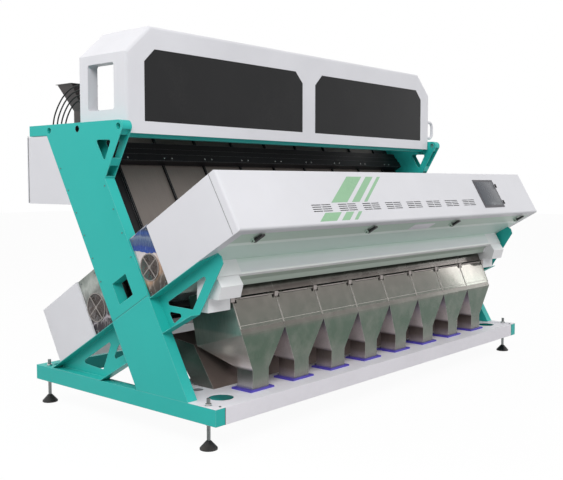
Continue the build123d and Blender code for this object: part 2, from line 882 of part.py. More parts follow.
def funnel_shape(x, margin):
    """Solid pyramid of one inlet funnel, drawn in by a margin."""
    mouth = Rectangle(funnel_mouth[0] - 2 * margin, funnel_mouth[1] - 2 * margin)
    neck = Rectangle(funnel_neck[0] - 2 * margin, funnel_neck[1] - 2 * margin)
    sections = [Pos(neck_place(x), funnel_centre, trough_top) * neck, Pos(x, funnel_centre, funnel_top) * mouth]
    return loft(sections, ruled=True)


def feed_hopper():
    """Long feed trough on its end plates, with inlet funnels on its top plate."""
    end = lane_half
    outer_end = end + hopper_sheet
    trough = block(-outer_end, outer_end, trough_front, trough_rear, trough_bottom, trough_top)
    trough = trough - block(
        -end, end, trough_front + hopper_sheet, trough_rear - hopper_sheet,
        trough_bottom, trough_top - hopper_sheet,
    )
    for plate in pair(block(end, outer_end, trough_front, trough_rear, base_plate_top, trough_top)):
        trough = trough + plate
    for index in range(funnel_count):
        x = (index - (funnel_count - 1) / 2) * funnel_pitch
        trough = trough + funnel_shape(x, 0)
        mouth_x, mouth_y = [size + funnel_lip for size in funnel_mouth]
        neck_x, neck_y = [size - 2 * hopper_sheet for size in funnel_neck]
        lip = Pos(x, funnel_centre, funnel_top - hopper_sheet / 2) * Box(mouth_x, mouth_y, hopper_sheet)
        trough = trough + lip - funnel_shape(x, hopper_sheet)
        trough = trough - Pos(neck_place(x), funnel_centre, trough_top) * Box(neck_x, neck_y, 2 * hopper_sheet)
    return [trough]


def chutes():
    """Chute plates, one for each lane."""
    half = (lane_pitch - divider_width) / 2
    return [
        lean_block(x - half, x + half, chute_bottom_u, chute_top_u, chute_under_v, chute_v) for x in lanes
    ]


def chute_dividers():
    """Black strips between the chutes and panels from the outer chutes to the posts."""
    half = divider_width / 2
    top = chute_v + divider_height
    solids = [
        lean_block(x - half, x + half, chute_bottom_u, chute_top_u, chute_under_v, top) for x in lane_edges
    ]
    panel = lean_block(lane_half + half, post_inner, chute_bottom_u, chute_top_u, chute_under_v, chute_v)
    return solids + pair(panel)


def chute_bars():
    """Cross tubes behind the chutes, and the folded cover across their upper ends."""
    solids = []
    for u in bar_places:
        tube = lean_block(-post_inner, post_inner, u, u + bar_size, chute_under_v - bar_size, chute_under_v)
        hollow_v = chute_under_v - bar_size + chute_sheet
        solids.append(tube - lean_block(
            -post_inner, post_inner, u + chute_sheet, u + bar_size - chute_sheet,
            hollow_v, chute_under_v - chute_sheet,
        ))
    v0 = chute_v + divider_height
    outline = [lean(chute_cover_u[0], v0)]
    for u0, u1, depth in zip(chute_cover_u, chute_cover_u[1:], chute_cover_depths):
        outline += [lean(u0, v0 + depth), lean(u1, v0 + depth)]
    outline.append(lean(chute_cover_u[-1], v0))
    hollow = inset(outline, chute_sheet)
    hollow[0] = lean(chute_cover_u[0] + chute_sheet, v0)
    hollow[-1] = lean(chute_cover_u[-1] - chute_sheet, v0)
    return solids + [prism(outline, -post_inner, post_inner) - prism(hollow, -post_inner, post_inner)]


def optical_shell(u0, u1, v0, v1, open_face):
    """Sheet box with end walls; open_face moves one inner wall out through the sheet."""
    shell = lean_block(-box_half, box_half, u0, u1, v0, v1)
    low_u, high_u, low_v, high_v = open_face
    t = panel_sheet
    return shell - lean_block(
        -box_half + t, box_half - t, u0 + (-t if low_u else t), u1 + (t if high_u else -t),
        v0 + (-t if low_v else t), v1 + (t if high_v else -t),
    )


def fan_hole(fan, x0, x1):
    """Round air opening at a fan, on the right-hand side."""
    u, v, radius = fan
    return rod(x0, x1, lean(u, v), radius + blade_gap)


def hinge_line_door():
    """Axis (y, z) of the front door's hinge."""
    return lean(box_u[1] + barrel_radius + door_gap / 2, door_back_v)


def hinge_line_lid():
    """Axis (y, z) of the rear lid's hinge."""
    return lean(rear_box_u[1] + barrel_radius + door_gap / 2, post_rear_v - barrel_radius)


def front_box_shell():
    """Front optical box: sheet shell with viewing slot, camera rail, hinge knuckles and latch ears."""
    shell = optical_shell(*box_u, box_inner_v, door_back_v, (False, False, False, True))
    shell = shell - lean_block(-slot_half, slot_half, *slot_u, box_inner_v, box_inner_v + panel_sheet)
    for hole in pair(fan_hole(fan_front, box_half - panel_sheet, box_half)):
        shell = shell - hole
    inner = box_half - panel_sheet
    rail = lean_block(-inner, inner, rail_u, rail_u + rail_plate, camera_v, camera_v + camera_size[2])
    shell = shell + rail
    for x in hinge_places:
        shell = shell + fixed_knuckles(hinge_line_door(), x, barrel_radius, pin_radius)
        for x0, x1 in knuckle_spans(x)[1]:
            leaf_end = door_back_v - door_gap
            shell = shell + lean_block(x0, x1, box_u[1], box_u[1] + leaf_plate, leaf_end - leaf_width, leaf_end)
    pivot_u = box_u[0] - latch_drop
    half = latch_width / 2 + rest_gap
    for x in latch_places:
        for x0, x1 in ((x - half - latch_ear, x - half), (x + half, x + half + latch_ear)):
            ear = lean_block(x0, x1, pivot_u - latch_ear_drop, box_u[0],
                             latch_v - latch_ear_reach, latch_v + latch_ear_reach)
            bore = rod(x0, x1, lean(pivot_u, latch_v), latch_pin_radius + run_clearance)
            shell = shell + (ear - bore)
    return [shell]


def door_latch(x):
    """Lever that holds the door's lower edge, with its pivot pin."""
    pivot_u = box_u[0] - latch_drop
    half = latch_width / 2
    start = latch_v - latch_tail
    lever = lean_block(x - half, x + half, pivot_u - latch_height / 2, pivot_u + latch_height / 2,
                       start, start + latch_length)
    lever = rounded(lever, latch_round)
    reach = half + rest_gap + latch_ear
    return [lever + rod(x - reach, x + reach, lean(pivot_u, latch_v), latch_pin_radius)]


def front_door():
    """Shallow white pan with vents, the screen's cut-out and its hinge knuckles."""
    u0, u1 = box_u
    t = panel_sheet
    door = lean_block(-half_width, half_width, u0, u1, door_v, door_front_v)
    door = fillet(door.faces().sort_by(lean_height)[-1].edges(), door_radius)
    hollow = lean_block(-half_width + t, half_width - t, u0 + t, u1 - t, door_v, door_front_v - t)
    hollow = fillet(hollow.faces().sort_by(lean_height)[-1].edges(), door_radius - t)
    door = door - hollow
    rim = screen_rim
    door = door - lean_block(screen_x[0] + rim, screen_x[1] - rim, screen_u[0] + rim, screen_u[1] - rim,
                             door_front_v - t, door_front_v)
    slots = []
    half_length = vent_slot[0] / 2
    half_height = vent_slot[1] / 2
    for group in range(vent_groups):
        for column in vent_columns:
            x = vent_first + group * vent_pitch + column
            for u in vent_rows:
                slots.append(lean_block(x - half_length, x + half_length, u - half_height, u + half_height,
                                        door_front_v - t, door_front_v))
    door = door - slots
    for x in hinge_places:
        span = knuckle_spans(x)[0]
        leaf = lean_block(*span, u1, u1 + leaf_plate, door_v, door_v + leaf_width)
        door = door + moving_knuckle(hinge_line_door(), x, barrel_radius, pin_radius, leaf)
    return [door]


def touch_screen():
    """Screen panel with its bezel on the door and its body behind."""
    rim = screen_rim + rest_gap
    bezel = lean_block(*screen_x, *screen_u, door_front_v, door_front_v + screen_bezel)
    body = lean_block(screen_x[0] + rim, screen_x[1] - rim, screen_u[0] + rim, screen_u[1] - rim,
                      door_front_v - screen_depth, door_front_v)
    return [bezel + body]


def end_cap(u0, u1, v0, v1):
    """White end cover of an optical box, open towards the box."""
    t = panel_sheet
    cap = lean_block(box_half, half_width, u0, u1, v0, v1)
    return pair(cap - lean_block(box_half, half_width - t, u0 + t, u1 - t, v0 + t, v1 - t))


def end_covers():
    """End covers of the front and rear boxes."""
    return end_cap(*box_u, cover_v, door_back_v) + end_cap(*rear_box_u, rear_box_v, rear_plate_v)


def side_plates():
    """Stainless plates between the posts and the end covers, with the fan openings."""
    x0 = side_plate_x - side_plate_sheet
    front = lean_block(x0, side_plate_x, box_u[0], side_plate_top_u, post_front_v, cover_v)
    rear = lean_block(x0, side_plate_x, rear_box_u[0], side_plate_top_u, rear_plate_v, post_rear_v)
    front = front - fan_hole(fan_front, x0, side_plate_x)
    rear = rear - fan_hole(fan_rear, x0, side_plate_x)
    return pair(front) + pair(rear)


def fan_guards():
    """Ring guards with four spokes; each carries the shaft of its fan."""
    solids = []
    for u, v, radius in (fan_front, fan_rear):
        y, z = lean(u, v)
        reach = radius + blade_gap
        outer = side_plate_x + guard_thickness
        guard = rod(side_plate_x, outer, (y, z), reach + guard_ring) - rod(side_plate_x, outer, (y, z), reach)
        middle = Pos((side_plate_x + outer) / 2, y, z)
        for angle in (0, 90):
            spoke = Box(guard_thickness, guard_spoke, 2 * reach + guard_ring)
            guard = guard + middle * Rot(angle + spoke_turn + lean_angle, 0, 0) * spoke
        guard = guard + rod(side_plate_x, outer, (y, z), guard_hub_radius)
        guard = guard + rod(outer - fan_shaft_length, outer, (y, z), fan_shaft_radius)
        solids += pair(guard)
    return solids


def fan_rotor(fan, side):
    """Fan wheel: a hub with pitched blades."""
    u, v, radius = fan
    y, z = lean(u, v)
    x1 = side_plate_x - side_plate_sheet
    x0 = x1 - fan_width
    rotor = rod(x0, x1, (y, z), fan_hub_radius)
    blade_length = radius - fan_hub_radius + blade_gap
    middle = Pos((x0 + x1) / 2, y, z)
    for index in range(fan_blades):
        blade = Rot(0, 0, blade_pitch) * Box(blade_width, blade_thickness, blade_length)
        turn = Rot(360.0 * index / fan_blades, 0, 0)
        rotor = rotor + middle * turn * Pos(0, 0, radius - blade_length / 2) * blade
    rotor = rotor - rod(x0, x1, (y, z), fan_shaft_radius + run_clearance)
    return [pair(rotor)[0 if side > 0 else 1]]


def rear_box_shell():
    """Rear optical box: open-topped shell with viewing slot, camera rail and lid knuckles."""
    u0, u1 = rear_box_u
    shell = optical_shell(u0, u1 - rear_lid_depth, rear_box_v, post_rear_v, (False, True, False, False))
    shell = shell - lean_block(-slot_half, slot_half, *slot_u, post_rear_v - panel_sheet, post_rear_v)
    for hole in pair(fan_hole(fan_rear, box_half - panel_sheet, box_half)):
        shell = shell - hole
    inner = box_half - panel_sheet
    rail_end = rear_camera_v + camera_size[2]
    shell = shell + lean_block(-inner, inner, rail_u, rail_u + rail_plate, rear_camera_v, rail_end)
    inner_v = post_rear_v - panel_sheet
    for x in hinge_places:
        shell = shell + fixed_knuckles(hinge_line_lid(), x, barrel_radius, pin_radius)
        for x0, x1 in knuckle_spans(x)[1]:
            shell = shell + lean_block(x0, x1, u1 - rear_lid_depth, u1 + barrel_radius, inner_v, post_rear_v)
    return [shell]


def rear_lid():
    """White lid on the rear box, hinged along its upper edge."""
    u1 = rear_box_u[1]
    t = panel_sheet
    v1 = post_rear_v - barrel_radius * 2
    low = u1 - rear_lid_depth + rest_gap
    lid = lean_block(-rear_lid_half, rear_lid_half, low, u1, rear_box_v, v1)
    lid = lid - lean_block(-rear_lid_half + t, rear_lid_half - t, low, u1 - t, rear_box_v + t, v1 - t)
    for x in hinge_places:
        span = knuckle_spans(x)[0]
        leaf = lean_block(*span, u1, u1 + leaf_plate, v1 - leaf_width, v1 + barrel_radius)
        lid = lid + moving_knuckle(hinge_line_lid(), x, barrel_radius, pin_radius, leaf)
    return [lid]


def camera_modules():
    """Cameras on the rails of both boxes, with their lenses towards the falling grain."""
    width, height, length = camera_size
    seat = rail_u + rail_plate
    solids = []
    for x in lanes:
        for v0, lens0, lens1 in (
            (camera_v, camera_v - lens_length, camera_v),
            (rear_camera_v, rear_camera_v + length, rear_camera_v + length + lens_length),
        ):
            body = lean_block(x - width / 2, x + width / 2, seat, seat + height, v0, v0 + length)
            solids.append(body + lean_rod(x, seat + height / 2, lens0, lens1, lens_radius))
    return solids


def lamp_bars():
    """Lamp bars above and below each viewing slot, on the inside of the box walls."""
    height, depth = lamp_size
    front = box_inner_v + panel_sheet
    rear = post_rear_v - panel_sheet
    solids = []
    for u in (slot_u[0] - glass_overlap - height, slot_u[1] + glass_overlap):
        solids.append(lean_block(-lamp_half, lamp_half, u, u + height, front, front + depth))
        solids.append(lean_block(-lamp_half, lamp_half, u, u + height, rear - depth, rear))
    return solids


def viewing_glass():
    """Glass strips over the viewing slots, on the grain's side."""
    x = slot_half + glass_overlap
    u0 = slot_u[0] - glass_overlap
    u1 = slot_u[1] + glass_overlap
    return [
        lean_block(-x, x, u0, u1, box_inner_v - glass_thickness, box_inner_v),
        lean_block(-x, x, u0, u1, post_rear_v, post_rear_v + glass_thickness),
    ]


def wiper_rods():
    """Guide rods of the two wipers, from post to post."""
    return [
        rod(-post_inner, post_inner, lean(wiper_u, v), wiper_rod_radius)
        for v in (box_inner_v - wiper_reach, post_rear_v + wiper_reach)
    ]


def wiper_carriages():
    """Sliding blocks on the rods, each with a blade that sweeps its glass."""
    solids = []
    half = wiper_block / 2
    glass_u = slot_u[0] - glass_overlap
    for wall_v, sign in ((box_inner_v, -1), (post_rear_v, 1)):
        face = wall_v + sign * (glass_thickness + rest_gap)
        rod_v = wall_v + sign * wiper_reach
        x1 = wiper_start + wiper_length
        carriage = lean_block(wiper_start, x1, wiper_u - half, wiper_u + half, rod_v - half, rod_v + half)
        carriage = carriage - rod(wiper_start, x1, lean(wiper_u, rod_v), wiper_rod_radius + run_clearance)
        v0, v1 = sorted((face, face + sign * wiper_blade))
        middle = (wiper_start + x1) / 2
        blade = lean_block(middle - wiper_blade / 2, middle + wiper_blade / 2, glass_u, wiper_u - half, v0, v1)
        solids.append(carriage + blade)
    return solids


def air_ejector():
    """Air manifold across the machine with its nozzle strip and a valve bank for each lane."""
    u0, u1 = ejector_u
    v0, v1 = ejector_v
    wall = ejector_wall
    manifold = lean_block(-post_inner, post_inner, u0, u1, v0, v1)
    manifold = manifold - lean_block(-post_inner, post_inner, u0 + wall, u1 - wall, v0 + wall, v1 - wall)
    strip_half = lane_half
    middle = (u0 + u1) / 2
    strip = lean_block(-strip_half, strip_half, middle - nozzle_strip, middle + nozzle_strip,
                       v1, v1 + nozzle_strip)
    width = lane_pitch - valve_gap
    height, depth = valve_size
    banks = [
        lean_block(x - width / 2, x + width / 2, middle - height / 2, middle + height / 2, v0 - depth, v0)
        for x in lanes
    ]
    return [manifold + strip] + banks


def lower_front_cover():
    """Folded cover under the front box, and the white blocks at its ends."""
    points = [
        lean(box_u[0], cover_face_v - cover_flange), lean(box_u[0], cover_face_v),
        lean(cover_fold_u, cover_face_v), lean(*cover_return), cover_foot,
    ]
    x0, x1 = end_block_x
    cover = bent_sheet(points[:3], panel_sheet, -x1, x1)
    cover = cover + bent_sheet(points[2:], panel_sheet, -x0, x0)
    t = panel_sheet
    outline = [
        lean(box_u[0], end_block_top_v), lean(box_u[0], cover_face_v - 2 * t),
        lean(cover_fold_u, cover_face_v - 2 * t), end_block_knee, end_block_toe,
        (end_block_step[0], end_block_toe[1]), end_block_step,
        (end_block_back, end_block_step[1]), (end_block_back, end_block_toe[1]),
    ]
    hollow = inset(outline, t)
    rise = (2 * t * lean_sin, 2 * t * lean_cos)
    hollow[:2] = [(y + rise[0], z + rise[1]) for y, z in hollow[:2]]
    end_block = prism(outline, x0 + t, x1) - prism(hollow, x0 + 2 * t, x1 - t)
    return [cover] + pair(end_block)


def along_lid(distance, out=0.0):
    """Point (y, z) at a distance down the lid from its hinge, and out from its middle plane."""
    return (
        hinge_rod[0] + lid_along[0] * distance + lid_out[0] * out,
        hinge_rod[1] + lid_along[1] * distance + lid_out[1] * out,
    )


def spout_space(x, z0, z1):
    """Inside of a spout, between two heights."""
    half = spout_size[0] / 2 - steel_sheet
    return block(x - half, x + half, spout_front + steel_sheet, spout_back - steel_sheet, z0, z1)


def hinge_fitting(x):
    """Block that holds the hinge rod at a lane edge."""
    width, depth = fitting_size
    return block(x - width / 2, x + width / 2, hinge_rod[0] - depth / 2, hinge_rod[0] + depth / 2,
                 hopper_rim, fitting_top)


def hopper_form(x, margin, lift):
    """Solid form of a hopper down to its spout, drawn in by a margin except along its lower edges."""
    rim = hopper_rim + lift
    front_rim = rim + hopper_front_rise
    seat = -(lid_sheet / 2 + rest_gap) - margin
    half = lane_pitch / 2 - hopper_gap / 2 - margin
    front_foot = along_lid(lid_span, seat)
    slope = lid_along[0] / lid_along[1]
    back_slope = (hopper_back_top - hopper_back_foot[0]) / (hopper_rim - hopper_back_foot[1])
    front_top = (front_foot[0] + (front_rim - front_foot[1]) * slope, front_rim)
    back_foot = (hopper_back_foot[0] - margin, hopper_back_foot[1])
    back_top = (back_foot[0] + (rim - back_foot[1]) * back_slope, rim)
    body = prism([front_top, front_foot, back_foot, back_top], x - half, x + half)
    mouth = Polyline(
        (x - half, *front_foot), (x + half, *front_foot), (x + half, *back_foot), (x - half, *back_foot),
        close=True,
    )
    spout_half = spout_size[0] / 2 - margin
    neck = Polyline(
        (x - spout_half, spout_front + margin, spout_top), (x + spout_half, spout_front + margin, spout_top),
        (x + spout_half, spout_back - margin, spout_top), (x - spout_half, spout_back - margin, spout_top),
        close=True,
    )
    return body + loft([make_face(mouth), make_face(neck)], ruled=True)


def hoppers():
    """Stainless hoppers, open above and under their lids, each with a square spout."""
    solids = []
    flange_top = beam_top + flange_plate
    for x in lanes:
        half = spout_size[0] / 2
        hopper = hopper_form(x, 0, 0)
        hopper = hopper + block(x - half, x + half, spout_front, spout_back, flange_top, spout_top)
        hopper = hopper - hopper_form(x, steel_sheet, steel_sheet)
        hopper = hopper - spout_space(x, flange_top, spout_top)
        opening = lane_pitch / 2 - hopper_gap / 2 - lid_margin
        hopper = hopper - prism(
            [along_lid(-hinge_clear, lid_cut), along_lid(lid_span - lid_lip, lid_cut),
             along_lid(lid_span - lid_lip, -lid_cut), along_lid(-hinge_clear, -lid_cut)],
            x - opening, x + opening,
        )
        for edge in (x - lane_pitch / 2, x + lane_pitch / 2):
            hopper = hopper - hinge_fitting(edge)
        solids.append(hopper)
    return solids


def hopper_lid(x):
    """Sampling lid with two sleeves on the hinge rod."""
    half = lane_pitch / 2 - hopper_gap
    t = lid_sheet / 2
    clear = fitting_size[1]
    low = lid_span - lid_lip + lid_margin
    outline = [along_lid(clear, t), along_lid(low, t), along_lid(low, -t), along_lid(clear, -t)]
    lid = prism(outline, x - half, x + half)
    tab = sleeve_offset + sleeve_length / 2
    start = (rod_bore + sleeve_radius) / 2
    outline = [along_lid(start, t), along_lid(clear, t), along_lid(clear, -t), along_lid(start, -t)]
    lid = lid + prism(outline, x - tab, x + tab)
    for centre in (x - sleeve_offset, x + sleeve_offset):
        ends = (centre - sleeve_length / 2, centre + sleeve_length / 2)
        lid = lid + (rod(*ends, hinge_rod, sleeve_radius) - rod(*ends, hinge_rod, rod_bore))
    return [lid]


def lid_hinge_rail():
    """Hinge rod of all the lids, with a fitting on the hopper walls at each lane edge."""
    end = lane_half + fitting_size[0] / 2
    rail = rod(-end, end, hinge_rod, rod_radius)
    for x in lane_edges:
        rail = rail + hinge_fitting(x)
    return [rail]


def spout_flanges():
    """Blue flange plates under the spouts."""
    solids = []
    for x in lanes:
        plate = block(x - flange_size[0] / 2, x + flange_size[0] / 2, spout_middle - flange_size[1] / 2,
                      spout_middle + flange_size[1] / 2, beam_top, beam_top + flange_plate)
        solids.append(plate - spout_space(x, beam_top, beam_top + flange_plate))
    return solids


def catch_trough():
    """Brown trough behind the hoppers, with a slot through its floor."""
    points = [catch_top, (catch_bottom[0], beam_top), (catch_bottom[1], beam_top), catch_back]
    trough = bent_sheet(points, catch_sheet, -catch_half, catch_half)
    for plate in pair(prism(points, catch_half - catch_sheet, catch_half)):
        trough = trough + plate
    return [trough - block(-catch_slot_half, catch_slot_half, *catch_slot, beam_top, beam_top + catch_sheet)]


def flap_hinge_line():
    """Axis (y, z) of the cabinet flaps' hinges."""
    return (cabinet_rear + flap_gap / 2, cabinet_z[1] + flap_barrel + flap_barrel_gap)


def cabinet_shell():
    """White cabinet behind the posts, open to the rear, with the fixed knuckles of its flaps."""
    z0, z1 = cabinet_z
    outline = [lean_at(post_rear_v, z0), (cabinet_rear, z0), (cabinet_rear, z1), lean_at(post_rear_v, z1)]
    hollow = inset(outline, panel_sheet)
    hollow[1] = (cabinet_rear, hollow[1][1])
    hollow[2] = (cabinet_rear, hollow[2][1])
    shell = prism(outline, -half_width, half_width)
    shell = shell - prism(hollow, -half_width + panel_sheet, half_width - panel_sheet)
    for x in flap_hinges:
        shell = shell + fixed_knuckles(flap_hinge_line(), x, flap_barrel, flap_pin)
        for x0, x1 in knuckle_spans(x)[1]:
            shell = shell + block(x0, x1, rear_arm_reach, cabinet_rear + flap_gap / 2, z1, z1 + leaf_plate)
    return [shell]


def cabinet_flap(side):
    """Lift-up flap over one half of the cabinet."""
    z0 = cabinet_z[0] + flap_margin
    z1 = cabinet_z[1] - flap_margin
    y0 = cabinet_rear + flap_gap
    t = panel_sheet
    x0, x1 = sorted((side * flap_margin, side * (half_width - flap_margin)))
    flap = block(x0, x1, y0, flap_rear, z0, z1) - block(x0 + t, x1 - t, y0, flap_rear - t, z0 + t, z1 - t)
    centre = flap_hinge_line()
    for x in flap_hinges:
        if x * side > 0:
            tab = block(*knuckle_spans(x)[0], y0, y0 + leaf_plate, z1 - flap_tab, centre[1])
            flap = flap + moving_knuckle(centre, x, flap_barrel, flap_pin, tab)
    return [flap]


def feeder_cables():
    """Outlet box inside the hood's left-hand end, with black cables from it down to the cabinet's top."""
    x = cable_post_gap - post_inner
    floor = cabinet_z[1]
    first_y = hood_rear - outlet_gap / 2
    rises = [post_top + cable_start_rise - index * cable_start_step for index in range(cable_count)]
    wall = hood_sheet - hood_half
    solids = [block(wall, 2 * x - wall, hand_hole_y[1] + hood_sheet + outlet_gap, first_y,
                    rises[-1] - outlet_margin, rises[0] + outlet_margin)]
    for index, top in enumerate(rises):
        last_y = cable_end_y - index * cable_end_step
        points = [
            (x, first_y + (last_y - first_y) * along, top + (floor - top) * down) for along, down in cable_route
        ]
        radii = []
        for before, corner, after in zip(points, points[1:], points[2:]):
            turn = (Vector(corner) - Vector(before)).get_angle(Vector(after) - Vector(corner))
            run = min((Vector(corner) - Vector(before)).length, (Vector(after) - Vector(corner)).length)
            radii.append(cable_bend * run / tan(radians(turn / 2)))
        path = FilletPolyline(*points, radius=radii)
        section = Plane(origin=points[0], z_dir=(0, 1, 0)) * Circle(cable_radius)
        cable = sweep(section, path=path)
        print("cable", index, "radii", [round(value) for value in radii],
              "volume share", round(cable.volume / (section.area * path.length), 4))
        solids.append(cable + upright(x, last_y, floor, floor + collar_height, collar_radius))
    return solids


def frame_screws():
    """Button heads on the outer faces of the posts and of the side plates."""
    solids = []
    spots = []
    for index in range(post_screws):
        u = post_screw_first + index * post_screw_pitch
        for v in (post_rear_v + screw_margin, post_front_v - screw_margin):
            if lean(u, v)[1] < post_knee or v < post_front_v - screw_margin:
                spots.append((half_width, lean(u, v)))
    for u0, v0, v1 in ((box_u[0], post_front_v, cover_v), (rear_box_u[0], rear_plate_v, post_rear_v)):
        for u in (u0 + screw_margin, side_plate_top_u - screw_margin):
            for v in (v0 + screw_margin, v1 - screw_margin):
                spots.append((side_plate_x, lean(u, v)))
    for x, centre in spots:
        solids += pair(rod(x, x + screw_head, centre, screw_radius))
    return solids


nodes = {
    "base_frame": base_frame(),
    "front_deck": front_deck(),
    "foot_nuts": foot_nuts(),
    "posts": posts(),
    "front_arms": front_arms(),
    "rear_struts": rear_struts(),
    "top_beams": top_beams(),
    "top_hood": top_hood(),
    "hood_windows": hood_windows(),
    "feeder_base": feeder_base(),
    "feeder_drives": feeder_drives(),
    "feeder_trays": feeder_trays(),
    "feed_hopper": feed_hopper(),
    "chutes": chutes(),
    "chute_dividers": chute_dividers(),
    "chute_bars": chute_bars(),
    "front_box_shell": front_box_shell(),
    "front_door": front_door(),
    "touch_screen": touch_screen(),
    "end_covers": end_covers(),
    "side_plates": side_plates(),
    "fan_guards": fan_guards(),
    "rear_box_shell": rear_box_shell(),
    "rear_lid": rear_lid(),
    "camera_modules": camera_modules(),
    "lamp_bars": lamp_bars(),
    "viewing_glass": viewing_glass(),
    "wiper_rods": wiper_rods(),
    "wiper_carriages": wiper_carriages(),
    "air_ejector": air_ejector(),
    "lower_front_cover": lower_front_cover(),
    "hoppers": hoppers(),
    "lid_hinge_rail": lid_hinge_rail(),
    "spout_flanges": spout_flanges(),
    "catch_trough": catch_trough(),
    "cabinet_shell": cabinet_shell(),
    "cabinet_flap_left": cabinet_flap(-1),
    "cabinet_flap_right": cabinet_flap(1),
    "feeder_cables": feeder_cables(),
    "frame_screws": frame_screws(),
}
for number, place in enumerate(lanes, 1):
    nodes[f"hopper_lid_{number}"] = hopper_lid(place)
for number, place in enumerate(latch_places, 1):
    nodes[f"door_latch_{number}"] = door_latch(place)
for end, y in (("front", -foot_y), ("rear", foot_y)):
    for hand, side in (("left", -1), ("right", 1)):
        nodes[f"levelling_foot_{end}_{hand}"] = levelling_foot(side * beam_centre_x, y)
for end, fan in (("front", fan_front), ("rear", fan_rear)):
    for hand, side in (("left", -1), ("right", 1)):
        nodes[f"fan_rotor_{end}_{hand}"] = fan_rotor(fan, side)

# The bounding box runs from the rounded lower edge of the door to the cabinet flaps.
front_edge = lean(box_u[0] + door_radius, door_front_v - door_radius)[0] - door_radius
to_origin = Pos(0, -(front_edge + flap_rear) / 2, 0)
print("origin shift", -(front_edge + flap_rear) / 2)

os.makedirs("parts", exist_ok=True)
for name, parts in nodes.items():
    solids = [to_origin * solid for part in parts for solid in part.solids()]
    export_step(Compound(children=solids) if len(solids) > 1 else solids[0], f"parts/{name}.step")
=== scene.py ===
"""Finishes, small fittings, studio and camera for an eight-lane optical grain sorter.

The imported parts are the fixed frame. This script coats every part, adds the thin fittings that the
parts leave to it, and sets the light and the view. Lengths are in metres, with X along the machine,
Y to the rear and Z up.
"""

from __future__ import annotations

import json
import logging
import math
from dataclasses import dataclass, replace
from enum import Enum

import bmesh
import bpy
from mathutils import Matrix, Vector


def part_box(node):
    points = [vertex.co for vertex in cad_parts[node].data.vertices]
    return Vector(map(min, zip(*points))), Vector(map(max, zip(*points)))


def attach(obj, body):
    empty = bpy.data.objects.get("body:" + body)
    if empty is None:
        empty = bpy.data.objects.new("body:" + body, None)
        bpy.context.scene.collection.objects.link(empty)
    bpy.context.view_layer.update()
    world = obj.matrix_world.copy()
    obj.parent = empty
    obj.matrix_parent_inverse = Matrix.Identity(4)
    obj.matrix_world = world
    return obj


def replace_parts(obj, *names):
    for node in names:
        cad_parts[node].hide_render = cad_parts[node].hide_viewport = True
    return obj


Colour = tuple[float, float, float, float]
Place = tuple[float, float, float]
Span = tuple[float, float]
Stops = tuple[tuple[float, int, int, int], ...]
Shape = bmesh.types.BMesh
Piece = bpy.types.Object
Socket = bpy.types.NodeSocket
Sockets = bpy.types.bpy_prop_collection

LOG = logging.getLogger("optical_sorter")
LANES = 8
ENDS = ("front", "rear")
HANDS = (("left", -1), ("right", 1))
ALONG_X = (1.0, 0.0, 0.0)
ALONG_Z = (0.0, 0.0, 1.0)
WHOLE = (0.0, 1.0)
FULL_LIGHT = (1.0, 1.0, 1.0, 1.0)
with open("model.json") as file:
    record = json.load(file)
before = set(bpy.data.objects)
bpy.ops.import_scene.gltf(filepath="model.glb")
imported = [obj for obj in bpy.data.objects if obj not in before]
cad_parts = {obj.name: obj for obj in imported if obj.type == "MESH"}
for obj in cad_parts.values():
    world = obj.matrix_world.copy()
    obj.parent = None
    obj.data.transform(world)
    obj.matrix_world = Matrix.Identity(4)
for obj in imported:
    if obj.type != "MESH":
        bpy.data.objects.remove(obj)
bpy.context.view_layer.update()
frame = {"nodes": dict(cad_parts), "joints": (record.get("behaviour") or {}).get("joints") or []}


def shade(red: int, green: int, blue: int) -> Colour:
    """Turn screen values from 0 to 255 into a linear, opaque colour."""
    parts = [value / 255 for value in (red, green, blue)]
    return (*(part / 12.92 if part <= 0.04045 else ((part + 0.055) / 1.055) ** 2.4 for part in parts), 1.0)


def scaled(colour: Colour, gain: float, lift: float = 0.0) -> Colour:
    """Colour with its light multiplied and then lifted, at most full."""
    return (*(min(1.0, value * gain + lift) for value in colour[:3]), 1.0)


def shifted(middle: float, steps: Span) -> Span:
    """Range that two steps about a middle reach."""
    return (middle + steps[0], middle + steps[1])


